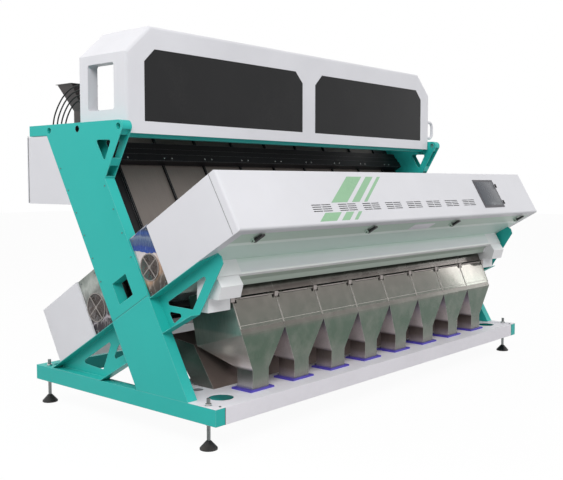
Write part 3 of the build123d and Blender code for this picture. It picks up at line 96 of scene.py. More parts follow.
class NodeSheet:
    """Adds nodes to one node tree and wires their sockets."""

    def __init__(self, tree: bpy.types.NodeTree) -> None:
        """Keep the tree that the nodes go to."""
        self.tree = tree

    def feed(self, socket: Socket, value: object) -> None:
        """Link a source socket to an input, or set the input's own value.

        Args:
            socket: The input.
            value: A source socket, or a plain value.
        """
        if isinstance(value, bpy.types.NodeSocket):
            self.tree.links.new(value, socket)
        else:
            socket.default_value = value

    def add(self, kind: str, inputs: dict | None = None, **settings: object) -> bpy.types.Node:
        """Add a node.

        Args:
            kind: The node's type after its ShaderNode prefix.
            inputs: Values or source sockets, by input name or number.
            settings: Properties of the node itself.

        Returns:
            The new node.
        """
        node = self.tree.nodes.new("ShaderNode" + kind)
        for name, value in settings.items():
            setattr(node, name, value)
        for key, value in (inputs or {}).items():
            self.feed(node.inputs[key], value)
        return node

    def mix(self, factor: object, first: object, second: object) -> Socket:
        """Blend from a first colour, where the factor is 0, to a second, where it is 1."""
        return self.add("Mix", {0: factor, 6: first, 7: second}, data_type="RGBA").outputs[2]

    def math(self, operation: str, first: object, second: object = 0.0, clamp: bool = False) -> Socket:
        """Combine two values, held from 0 to 1 where clamped."""
        return self.add("Math", {0: first, 1: second}, operation=operation, use_clamp=clamp).outputs[0]

    def times(self, first: object, second: object) -> Socket:
        """Product of two values."""
        return self.math("MULTIPLY", first, second)

    def span(self, value: object, source: Span, target: Span = WHOLE) -> Socket:
        """Map a value from one range to another, held inside it."""
        return self.add("MapRange", dict(enumerate((value, *source, *target)))).outputs[0]

    def change(self, value: object, source: Span, middle: float, steps: Span) -> Socket:
        """Value that changes by two steps about a middle as another goes over its range."""
        return self.span(value, source, shifted(middle, steps))

    def place(self) -> Socket:
        """Object coordinates."""
        return self.add("TexCoord").outputs["Object"]

    def normal(self) -> Socket:
        """Way that a face looks."""
        return self.add("NewGeometry").outputs["Normal"]

    def part(self, vector: Socket, axis: str) -> Socket:
        """One part of a vector."""
        return self.add("SeparateXYZ", {0: vector}).outputs[axis]

    def dot(self, first: object, second: object) -> Socket:
        """Dot product of two vectors."""
        return self.add("VectorMath", {0: first, 1: second}, operation="DOT_PRODUCT").outputs["Value"]

    def along(self, way: Place, start: float = 0.0) -> Socket:
        """Distance along a direction, counted from a start."""
        return self.math("SUBTRACT", self.dot(self.place(), way), start)

    def lean(self, way: Place) -> Socket:
        """Distance along a direction of the leaning frame."""
        return self.along(way, way[1] * LeanFrame.middle)

    def aside(self) -> Socket:
        """Distance to either side of the machine's middle."""
        return self.math("ABSOLUTE", self.along(ALONG_X))

    def noise(self, place: Socket, scale: object, detail: float, rough: float = 0.5) -> Socket:
        """Noise of so many cells in a metre, octaves, and a share of each finer octave."""
        inputs = {"Vector": place, "Scale": scale, "Detail": detail, "Roughness": rough}
        return self.add("TexNoise", inputs).outputs[0]

    def patches(self, scale: object, detail: float, rough: float, source: Span) -> Socket:
        """Noise over the surface, of which one range is drawn out from 0 to 1."""
        return self.span(self.noise(self.place(), scale, detail, rough), source)

    def wave(self, scale: float, height: float, detail: float = 3.0) -> Socket:
        """Slow rise and fall about zero."""
        return self.times(self.math("SUBTRACT", self.noise(self.place(), scale, detail), 0.5), height)

    def ramp(self, value: Socket, stops: Stops) -> Socket:
        """Run through colours along a value.

        Args:
            value: The value, from 0 to 1.
            stops: Places along it, each with a colour in screen values.

        Returns:
            The colour.
        """
        node = self.add("ValToRGB", {0: value})
        elements = node.color_ramp.elements
        elements.remove(elements[1])
        for index, (place, *screen) in enumerate(stops):
            stop = elements.new(place) if index else elements[0]
            stop.position = place
            stop.color = shade(*screen)
        return node.outputs[0]

    def by_height(self, heights: Span, stops: Stops) -> Socket:
        """Run through colours between two heights."""
        return self.ramp(self.span(self.along(ALONG_Z), heights), stops)

    def backdrop(self) -> Socket:
        """Mask of the rays that show the surroundings: to the eye, through glass and in reflections.

        Returns:
            The mask.
        """
        path = self.add("LightPath").outputs
        rays = self.math("ADD", path["Is Camera Ray"], path["Is Transmission Ray"], clamp=True)
        return self.math("ADD", rays, path["Is Glossy Ray"], clamp=True)


class Effect(Enum):
    """Surface effects that several finishes share."""

    SOFT_EDGES = "soft_edges"
    COAT_GRAIN = "coat_grain"
    SETTLED_DUST = "settled_dust"
    FLOOR_SOIL = "floor_soil"
    BRUSH_LINES = "brush_lines"
    HAND_MARKS = "hand_marks"


class EffectShelf:
    """Builds the shared node groups once and keeps them."""

    vectors = ("Normal", "Stretch")

    def __init__(self) -> None:
        """Build every group."""
        self.trees: dict[Effect, bpy.types.NodeTree] = {}
        for make in (
            self.make_soft_edges, self.make_coat_grain, self.make_settled_dust, self.make_floor_soil,
            self.make_brush_lines, self.make_hand_marks,
        ):
            make()

    def begin(
        self, effect: Effect, inputs: tuple[str, ...], outputs: tuple[str, ...]
    ) -> tuple[NodeSheet, Sockets, Sockets]:
        """Start a node group.

        Args:
            effect: The effect that it makes.
            inputs: Names of its inputs.
            outputs: Names of its outputs.

        Returns:
            A sheet on the group's tree, the values given to it and the results that it hands on.
        """
        tree = bpy.data.node_groups.new(effect.value, "ShaderNodeTree")
        self.trees[effect] = tree
        for way, names in (("INPUT", inputs), ("OUTPUT", outputs)):
            for name in names:
                kind = "NodeSocketVector" if name in self.vectors else "NodeSocketFloat"
                tree.interface.new_socket(name=name, in_out=way, socket_type=kind)
        given = tree.nodes.new("NodeGroupInput").outputs
        return NodeSheet(tree), given, tree.nodes.new("NodeGroupOutput").inputs

    def make_soft_edges(self) -> None:
        """Rounded normals along edges, and a mask of those edges."""
        sheet, given, result = self.begin(Effect.SOFT_EDGES, ("Radius",), ("Normal", "Edge"))
        soft = sheet.add("Bevel", {"Radius": given["Radius"]}, samples=6).outputs[0]
        sheet.feed(result["Normal"], soft)
        sheet.feed(result["Edge"], sheet.span(sheet.dot(soft, sheet.normal()), (0.995, 0.8)))

    def make_coat_grain(self) -> None:
        """Fine peel of a sprayed coat and its slow change of tone."""
        sheet, given, result = self.begin(Effect.COAT_GRAIN, ("Scale",), ("Height", "Tone"))
        sheet.feed(result["Height"], sheet.noise(sheet.place(), given["Scale"], 3.0))
        sheet.feed(result["Tone"], sheet.patches(1.9, 4.0, 0.5, (0.3, 0.7)))

    def make_settled_dust(self) -> None:
        """Grain dust that settles on faces that look up."""
        sheet, given, result = self.begin(Effect.SETTLED_DUST, ("Amount",), ("Mask",))
        flat = sheet.span(sheet.part(sheet.normal(), "Z"), (0.15, 0.95))
        cover = sheet.times(flat, sheet.patches(11.0, 7.0, 0.62, (0.35, 0.72)))
        sheet.feed(result["Mask"], sheet.math("MULTIPLY", cover, given["Amount"], clamp=True))

    def make_floor_soil(self) -> None:
        """Scuffs and soil that thin out with height above the floor."""
        sheet, given, result = self.begin(Effect.FLOOR_SOIL, ("Top", "Amount"), ("Mask",))
        share = sheet.math("DIVIDE", sheet.part(sheet.place(), "Z"), given["Top"])
        low = sheet.math("SUBTRACT", 1.0, share, clamp=True)
        cover = sheet.times(low, sheet.patches(23.0, 8.0, 0.66, (0.42, 0.7)))
        sheet.feed(result["Mask"], sheet.math("MULTIPLY", cover, given["Amount"], clamp=True))

    def make_brush_lines(self) -> None:
        """Fine lines of brushed or rolled sheet, drawn out along one direction."""
        sheet, given, result = self.begin(Effect.BRUSH_LINES, ("Stretch", "Scale"), ("Lines",))
        ways = {0: sheet.place(), 1: given["Stretch"]}
        place = sheet.add("VectorMath", ways, operation="MULTIPLY").outputs[0]
        sheet.feed(result["Lines"], sheet.noise(place, given["Scale"], 4.0, 0.6))

    def make_hand_marks(self) -> None:
        """Faint wiped patches and finger marks."""
        sheet, given, result = self.begin(Effect.HAND_MARKS, ("Scale",), ("Mask",))
        patch = sheet.patches(given["Scale"], 3.0, 0.55, (0.48, 0.68))
        sheet.feed(result["Mask"], sheet.times(patch, sheet.patches(61.0, 5.0, 0.6, (0.35, 0.65))))


class Surface(NodeSheet):
    """Sheet on the tree of one new material, with its shader and the shared effects at hand."""

    def __init__(self, name: str, effects: dict[Effect, bpy.types.NodeTree]) -> None:
        """Start the material.

        Args:
            name: The material's name.
            effects: The shared effects that it may use.
        """
        self.material = bpy.data.materials.new(name)
        self.material.use_nodes = True
        super().__init__(self.material.node_tree)
        self.effects = effects
        self.shader = self.tree.nodes["Principled BSDF"]

    def effect(self, effect: Effect, **values: object) -> Sockets:
        """Outputs of a shared effect that is placed with its own values."""
        return self.add("Group", values, node_tree=self.effects[effect]).outputs

    def mask(self, effect: Effect, **values: object) -> Socket:
        """The one output of a shared effect that is placed with its own values."""
        return self.effect(effect, **values)[0]

    def coat(self, inputs: dict[str, object]) -> None:
        """Feed inputs of the shader, by name."""
        for name, value in inputs.items():
            self.feed(self.shader.inputs[name], value)

    def emboss(self, height: Socket, relief: Span, edges: Sockets | None = None) -> None:
        """Raise the surface.

        Args:
            height: The height, from 0 to 1.
            relief: Strength and depth of the rise.
            edges: Soft edges that it comes on top of.
        """
        inputs = {"Strength": relief[0], "Distance": relief[1], "Height": height}
        if edges is not None:
            inputs["Normal"] = edges["Normal"]
        self.coat({"Normal": self.add("Bump", inputs).outputs[0]})


def points(node: str) -> list[Vector]:
    """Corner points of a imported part."""
    return [vertex.co for vertex in frame["nodes"][node].data.vertices]


def moved(shape: Shape, matrix: Matrix) -> Shape:
    """Move a shape by a matrix and hand it back."""
    bmesh.ops.transform(shape, matrix=matrix, verts=shape.verts)
    return shape


class LeanFrame:
    """Frame of the leaning posts: x along the machine, u up the posts and v square out of them.

    Its u and v start at the middle of the base.
    """

    tilt = math.radians(30.0)
    up = (0.0, math.sin(tilt), math.cos(tilt))
    out = (0.0, -math.cos(tilt), math.sin(tilt))
    back = (0.0, math.cos(tilt), -math.sin(tilt))
    middle = sum(corner[1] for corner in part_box("base_frame")) / 2
    matrix = Matrix((
        (1.0, 0.0, 0.0, 0.0), (0.0, up[1], out[1], middle), (0.0, up[2], out[2], 0.0), (0.0, 0.0, 0.0, 1.0),
    ))

    @classmethod
    def reach(cls, node: str) -> tuple[Vector, Vector]:
        """Lowest and highest x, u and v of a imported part.

        Args:
            node: The part's name.

        Returns:
            Its two corners in this frame.
        """
        inverse = cls.matrix.inverted()
        rows = list(zip(*(inverse @ point for point in points(node))))
        return Vector(min(row) for row in rows), Vector(max(row) for row in rows)

    @classmethod
    def stand(cls, shape: Shape) -> Shape:
        """Move a shape drawn as x, u and v to its place on the machine."""
        return moved(shape, cls.matrix)


@dataclass(frozen=True)
class Coating:
    """Finish that paints one named material."""

    name: str

    def make(self, shelf: EffectShelf) -> bpy.types.Material:
        """Make the material.

        Args:
            shelf: The shared effects.

        Returns:
            The painted material.
        """
        surface = Surface(self.name, shelf.trees)
        self.paint(surface)
        return surface.material

    def paint(self, surface: Surface) -> None:
        """Paint a new material, as each kind of finish does in its own way."""
        raise NotImplementedError


@dataclass(frozen=True)
class PowderCoat(Coating):
    """Sprayed and baked coat on sheet and plate, with bands of other colours by height where it has them;
    on the front box's underside and on the lower cover those bands are painted shade, painted green
    reflection and a painted highlight.
    """

    colour: Colour
    roughness: float = 0.38
    specular: float = 0.45
    dust: float = 0.16
    soil: float = 0.0
    soil_top: float = 0.3
    peel: float = 420.0
    edge_radius: float = 0.003
    # edge_highlight is the share of a painted highlight that lightens the soft edges.
    edge_highlight: float = 0.12
    deep_tone: float = 0.93
    tone_rough: Span = (0.0, 0.07)
    matt_rough: float = 0.3
    relief: Span = (0.12, 0.0006)
    dust_colour: Colour = shade(196, 186, 164)
    soil_colour: Colour = shade(92, 84, 70)
    # The bands run by height between heights, on faces below band_limit along band_way, or within
    # half_width of the middle. On the front box's underside and the lower cover they are painted shade,
    # painted reflection and painted highlight; on the rear box they darken its faces towards the stream.
    bands: Stops = ()
    heights: Span = WHOLE
    band_way: Place = LeanFrame.up
    band_limit: float = 0.0
    half_width: float = 0.0

    def add_light_and_tone_bands(self, surface: Surface, colour: Socket) -> Socket:
        """Lay bands by height on one outer face of a leaning box, or between the ends of a cover; on the
        front box's underside and the lower cover these are painted shade, painted reflection and a painted
        highlight.

        Args:
            surface: The material.
            colour: The coat's own colour.

        Returns:
            The colour with its bands.
        """
        if not self.bands:
            return colour
        if self.half_width:
            inside = surface.math("LESS_THAN", surface.aside(), self.half_width)
        else:
            inside = surface.math("LESS_THAN", surface.lean(self.band_way), self.band_limit)
        return surface.mix(inside, colour, surface.by_height(self.heights, self.bands))

    def paint(self, surface: Surface) -> None:
        """Spray the coat.

        Args:
            surface: The new material.
        """
        edges = surface.effect(Effect.SOFT_EDGES, Radius=self.edge_radius)
        grain = surface.effect(Effect.COAT_GRAIN, Scale=self.peel)
        dust = surface.mask(Effect.SETTLED_DUST, Amount=self.dust)
        soil = surface.mask(Effect.FLOOR_SOIL, Top=self.soil_top, Amount=self.soil)
        colour = surface.mix(grain["Tone"], self.colour, scaled(self.colour, self.deep_tone))
        # The soft edges are painted lighter: a painted highlight.
        highlight_colour = scaled(self.colour, 1.0 - self.edge_highlight, self.edge_highlight)
        colour = self.add_light_and_tone_bands(surface, surface.mix(edges["Edge"], colour, highlight_colour))
        colour = surface.mix(dust, colour, self.dust_colour)
        colour = surface.mix(soil, colour, self.soil_colour)
        base = surface.change(grain["Tone"], WHOLE, self.roughness, self.tone_rough)
        matt = surface.times(surface.math("ADD", dust, soil, clamp=True), self.matt_rough)
        rough = surface.math("ADD", base, matt, clamp=True)
        surface.coat({"Base Color": colour, "Roughness": rough, "Specular IOR Level": self.specular})
        surface.emboss(grain["Height"], self.relief, edges)


@dataclass(frozen=True)
class BrushedSheet(Coating):
    """Bare stainless or aluminium sheet with its rolling lines."""

    colour: Colour
    roughness: float = 0.3
    metallic: float = 1.0
    stretch: Place = (1.0, 30.0, 30.0)
    lines: float = 26.0
    anisotropy: float = 0.35
    dust: float = 0.14
    edge_radius: float = 0.0015
    deep_tone: float = 0.82
    edge_highlight_gain: float = 1.25
    line_rough: Span = (-0.05, 0.09)
    mark_rough: float = 0.12
    dust_rough: float = 0.4
    dust_metal: float = 0.25
    dust_colour: Colour = shade(178, 168, 146)
    relief: Span = (0.1, 0.0004)

    def paint(self, surface: Surface) -> None:
        """Brush the metal.

        Args:
            surface: The new material.
        """
        edges = surface.effect(Effect.SOFT_EDGES, Radius=self.edge_radius)
        lines = surface.mask(Effect.BRUSH_LINES, Stretch=self.stretch, Scale=self.lines)
        marks = surface.mask(Effect.HAND_MARKS, Scale=5.0)
        dust = surface.mask(Effect.SETTLED_DUST, Amount=self.dust)
        deeper = scaled(self.colour, self.deep_tone)
        colour = surface.mix(surface.span(lines, (0.3, 0.7)), self.colour, deeper)
        # The soft edges are painted lighter: a painted highlight.
        colour = surface.mix(edges["Edge"], colour, scaled(self.colour, self.edge_highlight_gain))
        colour = surface.mix(dust, colour, self.dust_colour)
        metal = surface.span(dust, WHOLE, (self.metallic, self.metallic * self.dust_metal))
        base = surface.change(lines, (0.25, 0.75), self.roughness, self.line_rough)
        worn = surface.math("ADD", base, surface.times(marks, self.mark_rough))
        rough = surface.math("ADD", worn, surface.times(dust, self.dust_rough), clamp=True)
        surface.coat({"Base Color": colour, "Metallic": metal, "Roughness": rough})
        surface.coat({"Anisotropic": self.anisotropy})
        surface.emboss(lines, self.relief, edges)


@dataclass(frozen=True)
class PolishedSheet(Coating):
    """Bright cloudy sheet steel whose colours change with height and with the way a face looks: painted
    reflection and painted shade of its surroundings.
    """

    # front, side and end are painted reflection and painted shade by height: on faces that look forward, on
    # faces that look sideways, and on sideways faces beyond end_from at the row's outer ends.
    front: Stops
    side: Stops
    heights: Span
    metallic: float = 0.6
    roughness: float = 0.2
    cloud: float = 0.3
    cloud_scale: float = 7.0
    cloud_colour: Colour = shade(158, 154, 148)
    stretch: Place = (30.0, 30.0, 1.6)
    edge_highlight_colour: Colour = shade(222, 218, 214)
    edge_highlight_share: float = 0.7
    streak_colour: Colour = shade(70, 68, 66)
    streak_share: float = 0.3
    line_rough: Span = (-0.04, 0.06)
    mark_rough: float = 0.04
    relief: Span = (0.12, 0.0006)
    end: Stops = ()
    end_from: float = 0.0

    def paint(self, surface: Surface) -> None:
        """Polish the steel.

        Args:
            surface: The new material.
        """
        edges = surface.effect(Effect.SOFT_EDGES, Radius=0.002)
        lines = surface.mask(Effect.BRUSH_LINES, Stretch=self.stretch, Scale=12.0)
        marks = surface.mask(Effect.HAND_MARKS, Scale=7.0)
        # Painted reflection and painted shade: colours by height, one set for faces that look forward, one
        # for faces that look sideways, and another set at the outer ends.
        side = surface.by_height(self.heights, self.side)
        if self.end:
            outer = surface.math("GREATER_THAN", surface.aside(), self.end_from)
            side = surface.mix(outer, side, surface.by_height(self.heights, self.end))
        sideways = surface.span(surface.math("ABSOLUTE", surface.part(surface.normal(), "X")), (0.3, 0.75))
        tone = surface.mix(sideways, surface.by_height(self.heights, self.front), side)
        patch = surface.patches(self.cloud_scale, 6.0, 0.62, (0.42, 0.7))
        tone = surface.mix(surface.times(patch, self.cloud), tone, self.cloud_colour)
        streak = surface.times(surface.span(lines, (0.42, 0.75)), self.streak_share)
        tone = surface.mix(streak, tone, self.streak_colour)
        # The soft edges are painted lighter: a painted highlight.
        tone = surface.mix(surface.times(edges["Edge"], self.edge_highlight_share), tone, self.edge_highlight_colour)
        base = surface.change(lines, (0.25, 0.75), self.roughness, self.line_rough)
        rough = surface.math("ADD", base, surface.times(marks, self.mark_rough))
        surface.coat({"Base Color": tone, "Roughness": rough, "Metallic": self.metallic})
        surface.emboss(patch, self.relief, edges)


@dataclass(frozen=True)
class MirrorPlate(Coating):
    """Polished side plates, coloured with broad wavy bands of painted reflection of the tones that stand
    around them, and a painted glint along the brush lines.
    """

    front: Stops
    rear: Stops
    reach: Span = (0.5, 0.86)
    parting: Span = (0.4, 0.5)
    metallic: float = 0.5
    roughness: float = 0.16
    mark_rough: Span = (0.0, 0.16)
    glint_colour: Colour = shade(206, 202, 200)
    glint_share: float = 0.5
    relief: Span = (0.2, 0.001)

    def paint(self, surface: Surface) -> None:
        """Polish the plates.

        Args:
            surface: The new material.
        """
        edges = surface.effect(Effect.SOFT_EDGES, Radius=0.002)
        marks = surface.mask(Effect.HAND_MARKS, Scale=9.0)
        lines = surface.mask(Effect.BRUSH_LINES, Stretch=(1.0, 9.0, 3.0), Scale=6.0)
        wave = surface.wave(11.0, 0.16)
        # The plates' colour is painted reflection: wavy bands by height, one set for the front plate and
        # one for the rear, with a painted glint on the brush lines.
        band = surface.span(surface.math("ADD", surface.lean(LeanFrame.up), wave), self.reach)
        front = surface.span(surface.lean(LeanFrame.out), self.parting)
        tone = surface.mix(front, surface.ramp(band, self.rear), surface.ramp(band, self.front))
        glint = surface.times(surface.span(lines, (0.5, 0.75)), self.glint_share)
        tone = surface.mix(glint, tone, self.glint_colour)
        rough = surface.change(marks, WHOLE, self.roughness, self.mark_rough)
        surface.coat({"Base Color": tone, "Roughness": rough, "Metallic": self.metallic})
        surface.emboss(wave, self.relief, edges)


@dataclass(frozen=True)
class DarkPanel(Coating):
    """Smooth tinted sheet with a haze of dust and wiping marks."""

    colour: Colour
    roughness: float = 0.3
    specular: float = 0.3
    edge_radius: float = 0.0012
    haze: Span = (0.88, 0.012)
    haze_share: float = 0.35
    mark_rough: Span = (0.0, 0.14)

    def paint(self, surface: Surface) -> None:
        """Tint the panel.

        Args:
            surface: The new material.
        """
        edges = surface.effect(Effect.SOFT_EDGES, Radius=self.edge_radius)
        marks = surface.mask(Effect.HAND_MARKS, Scale=2.6)
        grain = surface.effect(Effect.COAT_GRAIN, Scale=90.0)
        hazed = scaled(self.colour, *self.haze)
        colour = surface.mix(marks, self.colour, hazed)
        colour = surface.mix(surface.times(grain["Tone"], self.haze_share), colour, hazed)
        rough = surface.change(marks, WHOLE, self.roughness, self.mark_rough)
        surface.coat({"Base Color": colour, "Roughness": rough, "Normal": edges["Normal"]})
        surface.coat({"Specular IOR Level": self.specular})


@dataclass(frozen=True)
class Moulding(Coating):
    """Moulded plastic or rubber with a fine spark grain."""

    colour: Colour
    roughness: float = 0.5
    grain: float = 1400.0
    dust: float = 0.2
    edge_radius: float = 0.002
    wear: Span = (0.8, 0.05)
    wear_share: float = 0.5
    tone_rough: Span = (-0.05, 0.08)
    dust_rough: float = 0.3
    dust_colour: Colour = shade(150, 142, 126)
    relief: Span = (0.2, 0.0004)

    def paint(self, surface: Surface) -> None:
        """Colour the moulding.

        Args:
            surface: The new material.
        """
        edges = surface.effect(Effect.SOFT_EDGES, Radius=self.edge_radius)
        grain = surface.effect(Effect.COAT_GRAIN, Scale=self.grain)
        dust = surface.mask(Effect.SETTLED_DUST, Amount=self.dust)
        worn = surface.times(edges["Edge"], self.wear_share)
        colour = surface.mix(worn, self.colour, scaled(self.colour, *self.wear))
        colour = surface.mix(dust, colour, self.dust_colour)
        base = surface.change(grain["Tone"], WHOLE, self.roughness, self.tone_rough)
        rough = surface.math("ADD", base, surface.times(dust, self.dust_rough), clamp=True)
        surface.coat({"Base Color": colour, "Roughness": rough})
        surface.emboss(grain["Height"], self.relief, edges)


@dataclass(frozen=True)
class ClearSheet(Coating):
    """Clear glass with faint wiping marks."""

    tint: Colour = shade(224, 240, 238)
    mark_tint: Colour = shade(236, 238, 232)
    roughness: Span = (0.02, 0.12)

    def paint(self, surface: Surface) -> None:
        """Clear the glass.

        Args:
            surface: The new material.
        """
        marks = surface.mask(Effect.HAND_MARKS, Scale=4.0)
        rough = surface.span(marks, WHOLE, self.roughness)
        surface.coat({"Base Color": surface.mix(marks, self.tint, self.mark_tint), "Roughness": rough})
        surface.coat({"Transmission Weight": 1.0, "IOR": 1.5})


@dataclass(frozen=True)
class FootCoat(Coating):
    """Black coated pad below a bright threaded stud."""

    pad: Colour = shade(22, 22, 24)
    pad_edge: Colour = shade(70, 70, 71)
    stud: Colour = shade(150, 154, 154)
    groove: Colour = shade(84, 84, 82)
    groove_share: float = 0.55
    soil_colour: Colour = shade(104, 96, 82)
    pad_top: float = 0.046
    parting: float = 0.002
    thread: float = 470.0
    roughness: Span = (0.34, 0.5)
    relief: Span = (0.6, 0.0012)

    def paint(self, surface: Surface) -> None:
        """Coat the pad and cut the stud's thread.

        Args:
            surface: The new material.
        """
        edges = surface.effect(Effect.SOFT_EDGES, Radius=0.002)
        soil = surface.mask(Effect.FLOOR_SOIL, Top=0.05, Amount=0.25)
        lines = surface.mask(Effect.BRUSH_LINES, Stretch=(1.0, 1.0, 26.0), Scale=22.0)
        bare = surface.span(surface.part(surface.place(), "Z"), (self.pad_top, self.pad_top + self.parting))
        turns = {"Vector": surface.place(), "Scale": self.thread, "Distortion": 0.0}
        thread = surface.add("TexWave", turns, bands_direction="Z").outputs[1]
        steel = surface.mix(surface.times(thread, self.groove_share), self.stud, self.groove)
        pad = surface.mix(edges["Edge"], self.pad, self.pad_edge)
        colour = surface.mix(soil, surface.mix(bare, pad, steel), self.soil_colour)
        rough = surface.span(lines, (0.3, 0.7), self.roughness)
        surface.coat({"Base Color": colour, "Metallic": bare, "Roughness": rough})
        surface.emboss(surface.times(thread, bare), self.relief, edges)


@dataclass(frozen=True)
class PeeledFilm(Coating):
    """Blue protective film, bunched along its torn lower edge and thin above it; its paler middle bands are
    painted reflection and its glint along the creases a painted highlight.
    """

    bands: Stops = (
        (0.0, 6, 66, 150), (0.26, 4, 52, 136), (0.31, 40, 68, 122), (0.52, 66, 90, 130),
        (0.66, 108, 124, 150), (0.73, 40, 68, 120), (0.82, 8, 66, 140), (1.0, 24, 46, 78),
    )
    heights: Span = (0.988, 1.115)
    glint_colour: Colour = shade(150, 168, 204)
    glint_share: float = 0.55
    roughness: Span = (0.2, 0.4)
    relief: Span = (0.5, 0.002)

    def paint(self, surface: Surface) -> None:
        """Crease the film.

        Args:
            surface: The new material.
        """
        crease = surface.mask(Effect.BRUSH_LINES, Stretch=(1.0, 6.0, 2.0), Scale=14.0)
        level = surface.math("ADD", surface.along(ALONG_Z), surface.wave(17.0, 0.04))
        colour = surface.ramp(surface.span(level, self.heights), self.bands)
        glint = surface.times(surface.span(crease, (0.58, 0.74)), self.glint_share)
        rough = surface.span(crease, (0.3, 0.7), self.roughness)
        surface.coat({"Base Color": surface.mix(glint, colour, self.glint_colour), "Roughness": rough})
        surface.emboss(crease, self.relief)


@dataclass(frozen=True)
class DisplayFace(Coating):
    """Screen that is switched off behind its cover, a little paler towards its foot."""

    top: Colour = shade(64, 68, 77)
    foot: Colour = shade(78, 84, 90)
    heights: Span = (1.165, 1.33)
    mark_colour: Colour = shade(122, 124, 128)
    mark_share: float = 0.15
    roughness: Span = (0.22, 0.42)

    def paint(self, surface: Surface) -> None:
        """Darken the screen.

        Args:
            surface: The new material.
        """
        marks = surface.mask(Effect.HAND_MARKS, Scale=16.0)
        height = surface.span(surface.part(surface.place(), "Z"), self.heights)
        colour = surface.mix(height, self.foot, self.top)
        colour = surface.mix(surface.times(marks, self.mark_share), colour, self.mark_colour)
        surface.coat({"Base Color": colour, "Roughness": surface.span(marks, WHOLE, self.roughness)})


class Finish(Enum):
    """Every finish on the machine."""

    GREEN = PowderCoat(
        "green_coat", shade(44, 188, 180), dust=0.03, soil=0.04, specular=0.3, edge_highlight=0.2,
    )
    WHITE = PowderCoat("white_coat", shade(228, 228, 233), roughness=0.34, dust=0.05, edge_highlight=0.3)
    # Underside of the front box: the bands are painted green reflection, a painted highlight band and a
    # darker painted shade strip.
    BOX_WHITE = replace(
        WHITE, name="box_coat", heights=(0.95, 1.13), band_limit=0.5014, bands=(
            (0.0, 215, 236, 227), (0.54, 215, 236, 227), (0.57, 242, 255, 248), (0.63, 242, 255, 248),
            (0.66, 200, 220, 207),
        ),
    )
    REAR_WHITE = replace(
        WHITE, name="rear_box_coat", bands=((0.0, 15, 14, 18),), band_way=LeanFrame.back, band_limit=-0.26,
    )
    # Lower cover: the bands are painted shade and painted green reflection, darkest at the foot, with a
    # painted highlight band along its fold; its own white is painted lighter than WHITE so that its ends
    # read brighter.
    COVER_WHITE = replace(
        WHITE, name="cover_coat", colour=shade(250, 250, 252), heights=(0.8, 1.0), half_width=1.41, bands=(
            (0.0, 156, 168, 158), (0.34, 178, 192, 180), (0.37, 255, 255, 255), (0.46, 255, 255, 255),
            (0.49, 230, 233, 236), (0.7, 240, 246, 246), (0.78, 226, 240, 234),
        ),
    )
    DECK = PowderCoat("deck_coat", shade(246, 243, 250), dust=0.06, soil=0.04, soil_top=0.5)
    HOPPER_COAT = PowderCoat("feed_hopper_coat", shade(74, 66, 66), roughness=0.45, dust=0.12)
    CHUTE = BrushedSheet(
        "chute_sheet", shade(122, 114, 109), roughness=0.46, metallic=0.25, stretch=(60.0, 1.2, 1.2),
        lines=9.0, dust=0.06,
    )
    BLACK = PowderCoat(
        "black_coat", shade(15, 14, 18), roughness=0.45, specular=0.25, dust=0.02, edge_highlight=0.22,
    )
    WINDOW = DarkPanel("window_sheet", shade(44, 44, 45), roughness=0.34, specular=0.08)
    STAINLESS = BrushedSheet("stainless_sheet", shade(136, 139, 132), stretch=(1.0, 26.0, 26.0))
    # Hopper colours are painted reflection and painted shade: greenish forward faces, lighter and darker
    # bands on the sideways faces, and another set at the row's outer ends.
    HOPPER_STEEL = PolishedSheet(
        "hopper_sheet",
        front=(
            (0.0, 150, 148, 142), (0.1, 108, 116, 107), (0.3, 78, 99, 83), (0.52, 84, 102, 88),
            (0.58, 110, 106, 100), (0.88, 112, 104, 98), (0.93, 74, 66, 62), (1.0, 104, 112, 101),
        ),
        side=(
            (0.0, 206, 194, 196), (0.1, 140, 126, 122), (0.18, 104, 90, 86), (0.21, 232, 222, 218),
            (0.42, 206, 194, 192), (0.53, 122, 116, 130), (0.6, 92, 108, 102), (0.8, 122, 138, 130),
            (1.0, 100, 112, 104),
        ),
        end=(
            (0.0, 206, 200, 200), (0.1, 128, 124, 122), (0.18, 104, 104, 100), (0.21, 246, 236, 232),
            (0.28, 190, 180, 174), (0.36, 152, 148, 140), (0.53, 174, 168, 160), (0.56, 140, 152, 144),
            (0.7, 126, 142, 134), (1.0, 100, 112, 104),
        ),
        end_from=1.25, heights=(0.236, 0.815),
    )
    # Lid colours are painted reflection: their sideways faces are painted much lighter than their tops.
    LID_STEEL = PolishedSheet(
        "lid_sheet",
        front=((0.0, 106, 110, 102), (1.0, 118, 114, 108)),
        side=((0.0, 200, 196, 190), (1.0, 206, 202, 196)),
        heights=(0.58, 0.74), metallic=0.8, roughness=0.09, cloud_scale=14.0,
        cloud_colour=shade(150, 144, 138),
    )
    # Rims on the lids are painted far lighter than the lids: a painted highlight along their edges and hem.
    RIM_HIGHLIGHT = BrushedSheet("rim_highlight_sheet", shade(196, 192, 186), metallic=0.6, dust=0.0)
    HINGE_STEEL = BrushedSheet("hinge_steel", shade(164, 156, 153), metallic=0.7, dust=0.04)
    # Side plate colours are painted reflection of the surroundings, in bands by height.
    PLATE_STEEL = MirrorPlate(
        "side_plate_sheet",
        front=(
            (0.0, 60, 56, 52), (0.14, 92, 82, 72), (0.28, 178, 144, 118), (0.42, 208, 190, 182),
            (0.6, 214, 206, 206), (1.0, 150, 156, 170),
        ),
        rear=(
            (0.0, 36, 32, 40), (0.16, 44, 38, 46), (0.2, 170, 164, 170), (0.24, 50, 44, 50),
            (0.4, 98, 96, 94), (0.52, 150, 156, 150), (0.7, 116, 120, 116), (0.84, 172, 178, 172),
            (1.0, 120, 128, 122),
        ),
    )
    SCREW = BrushedSheet("screw_steel", shade(112, 122, 120), roughness=0.34, metallic=0.6, dust=0.0)
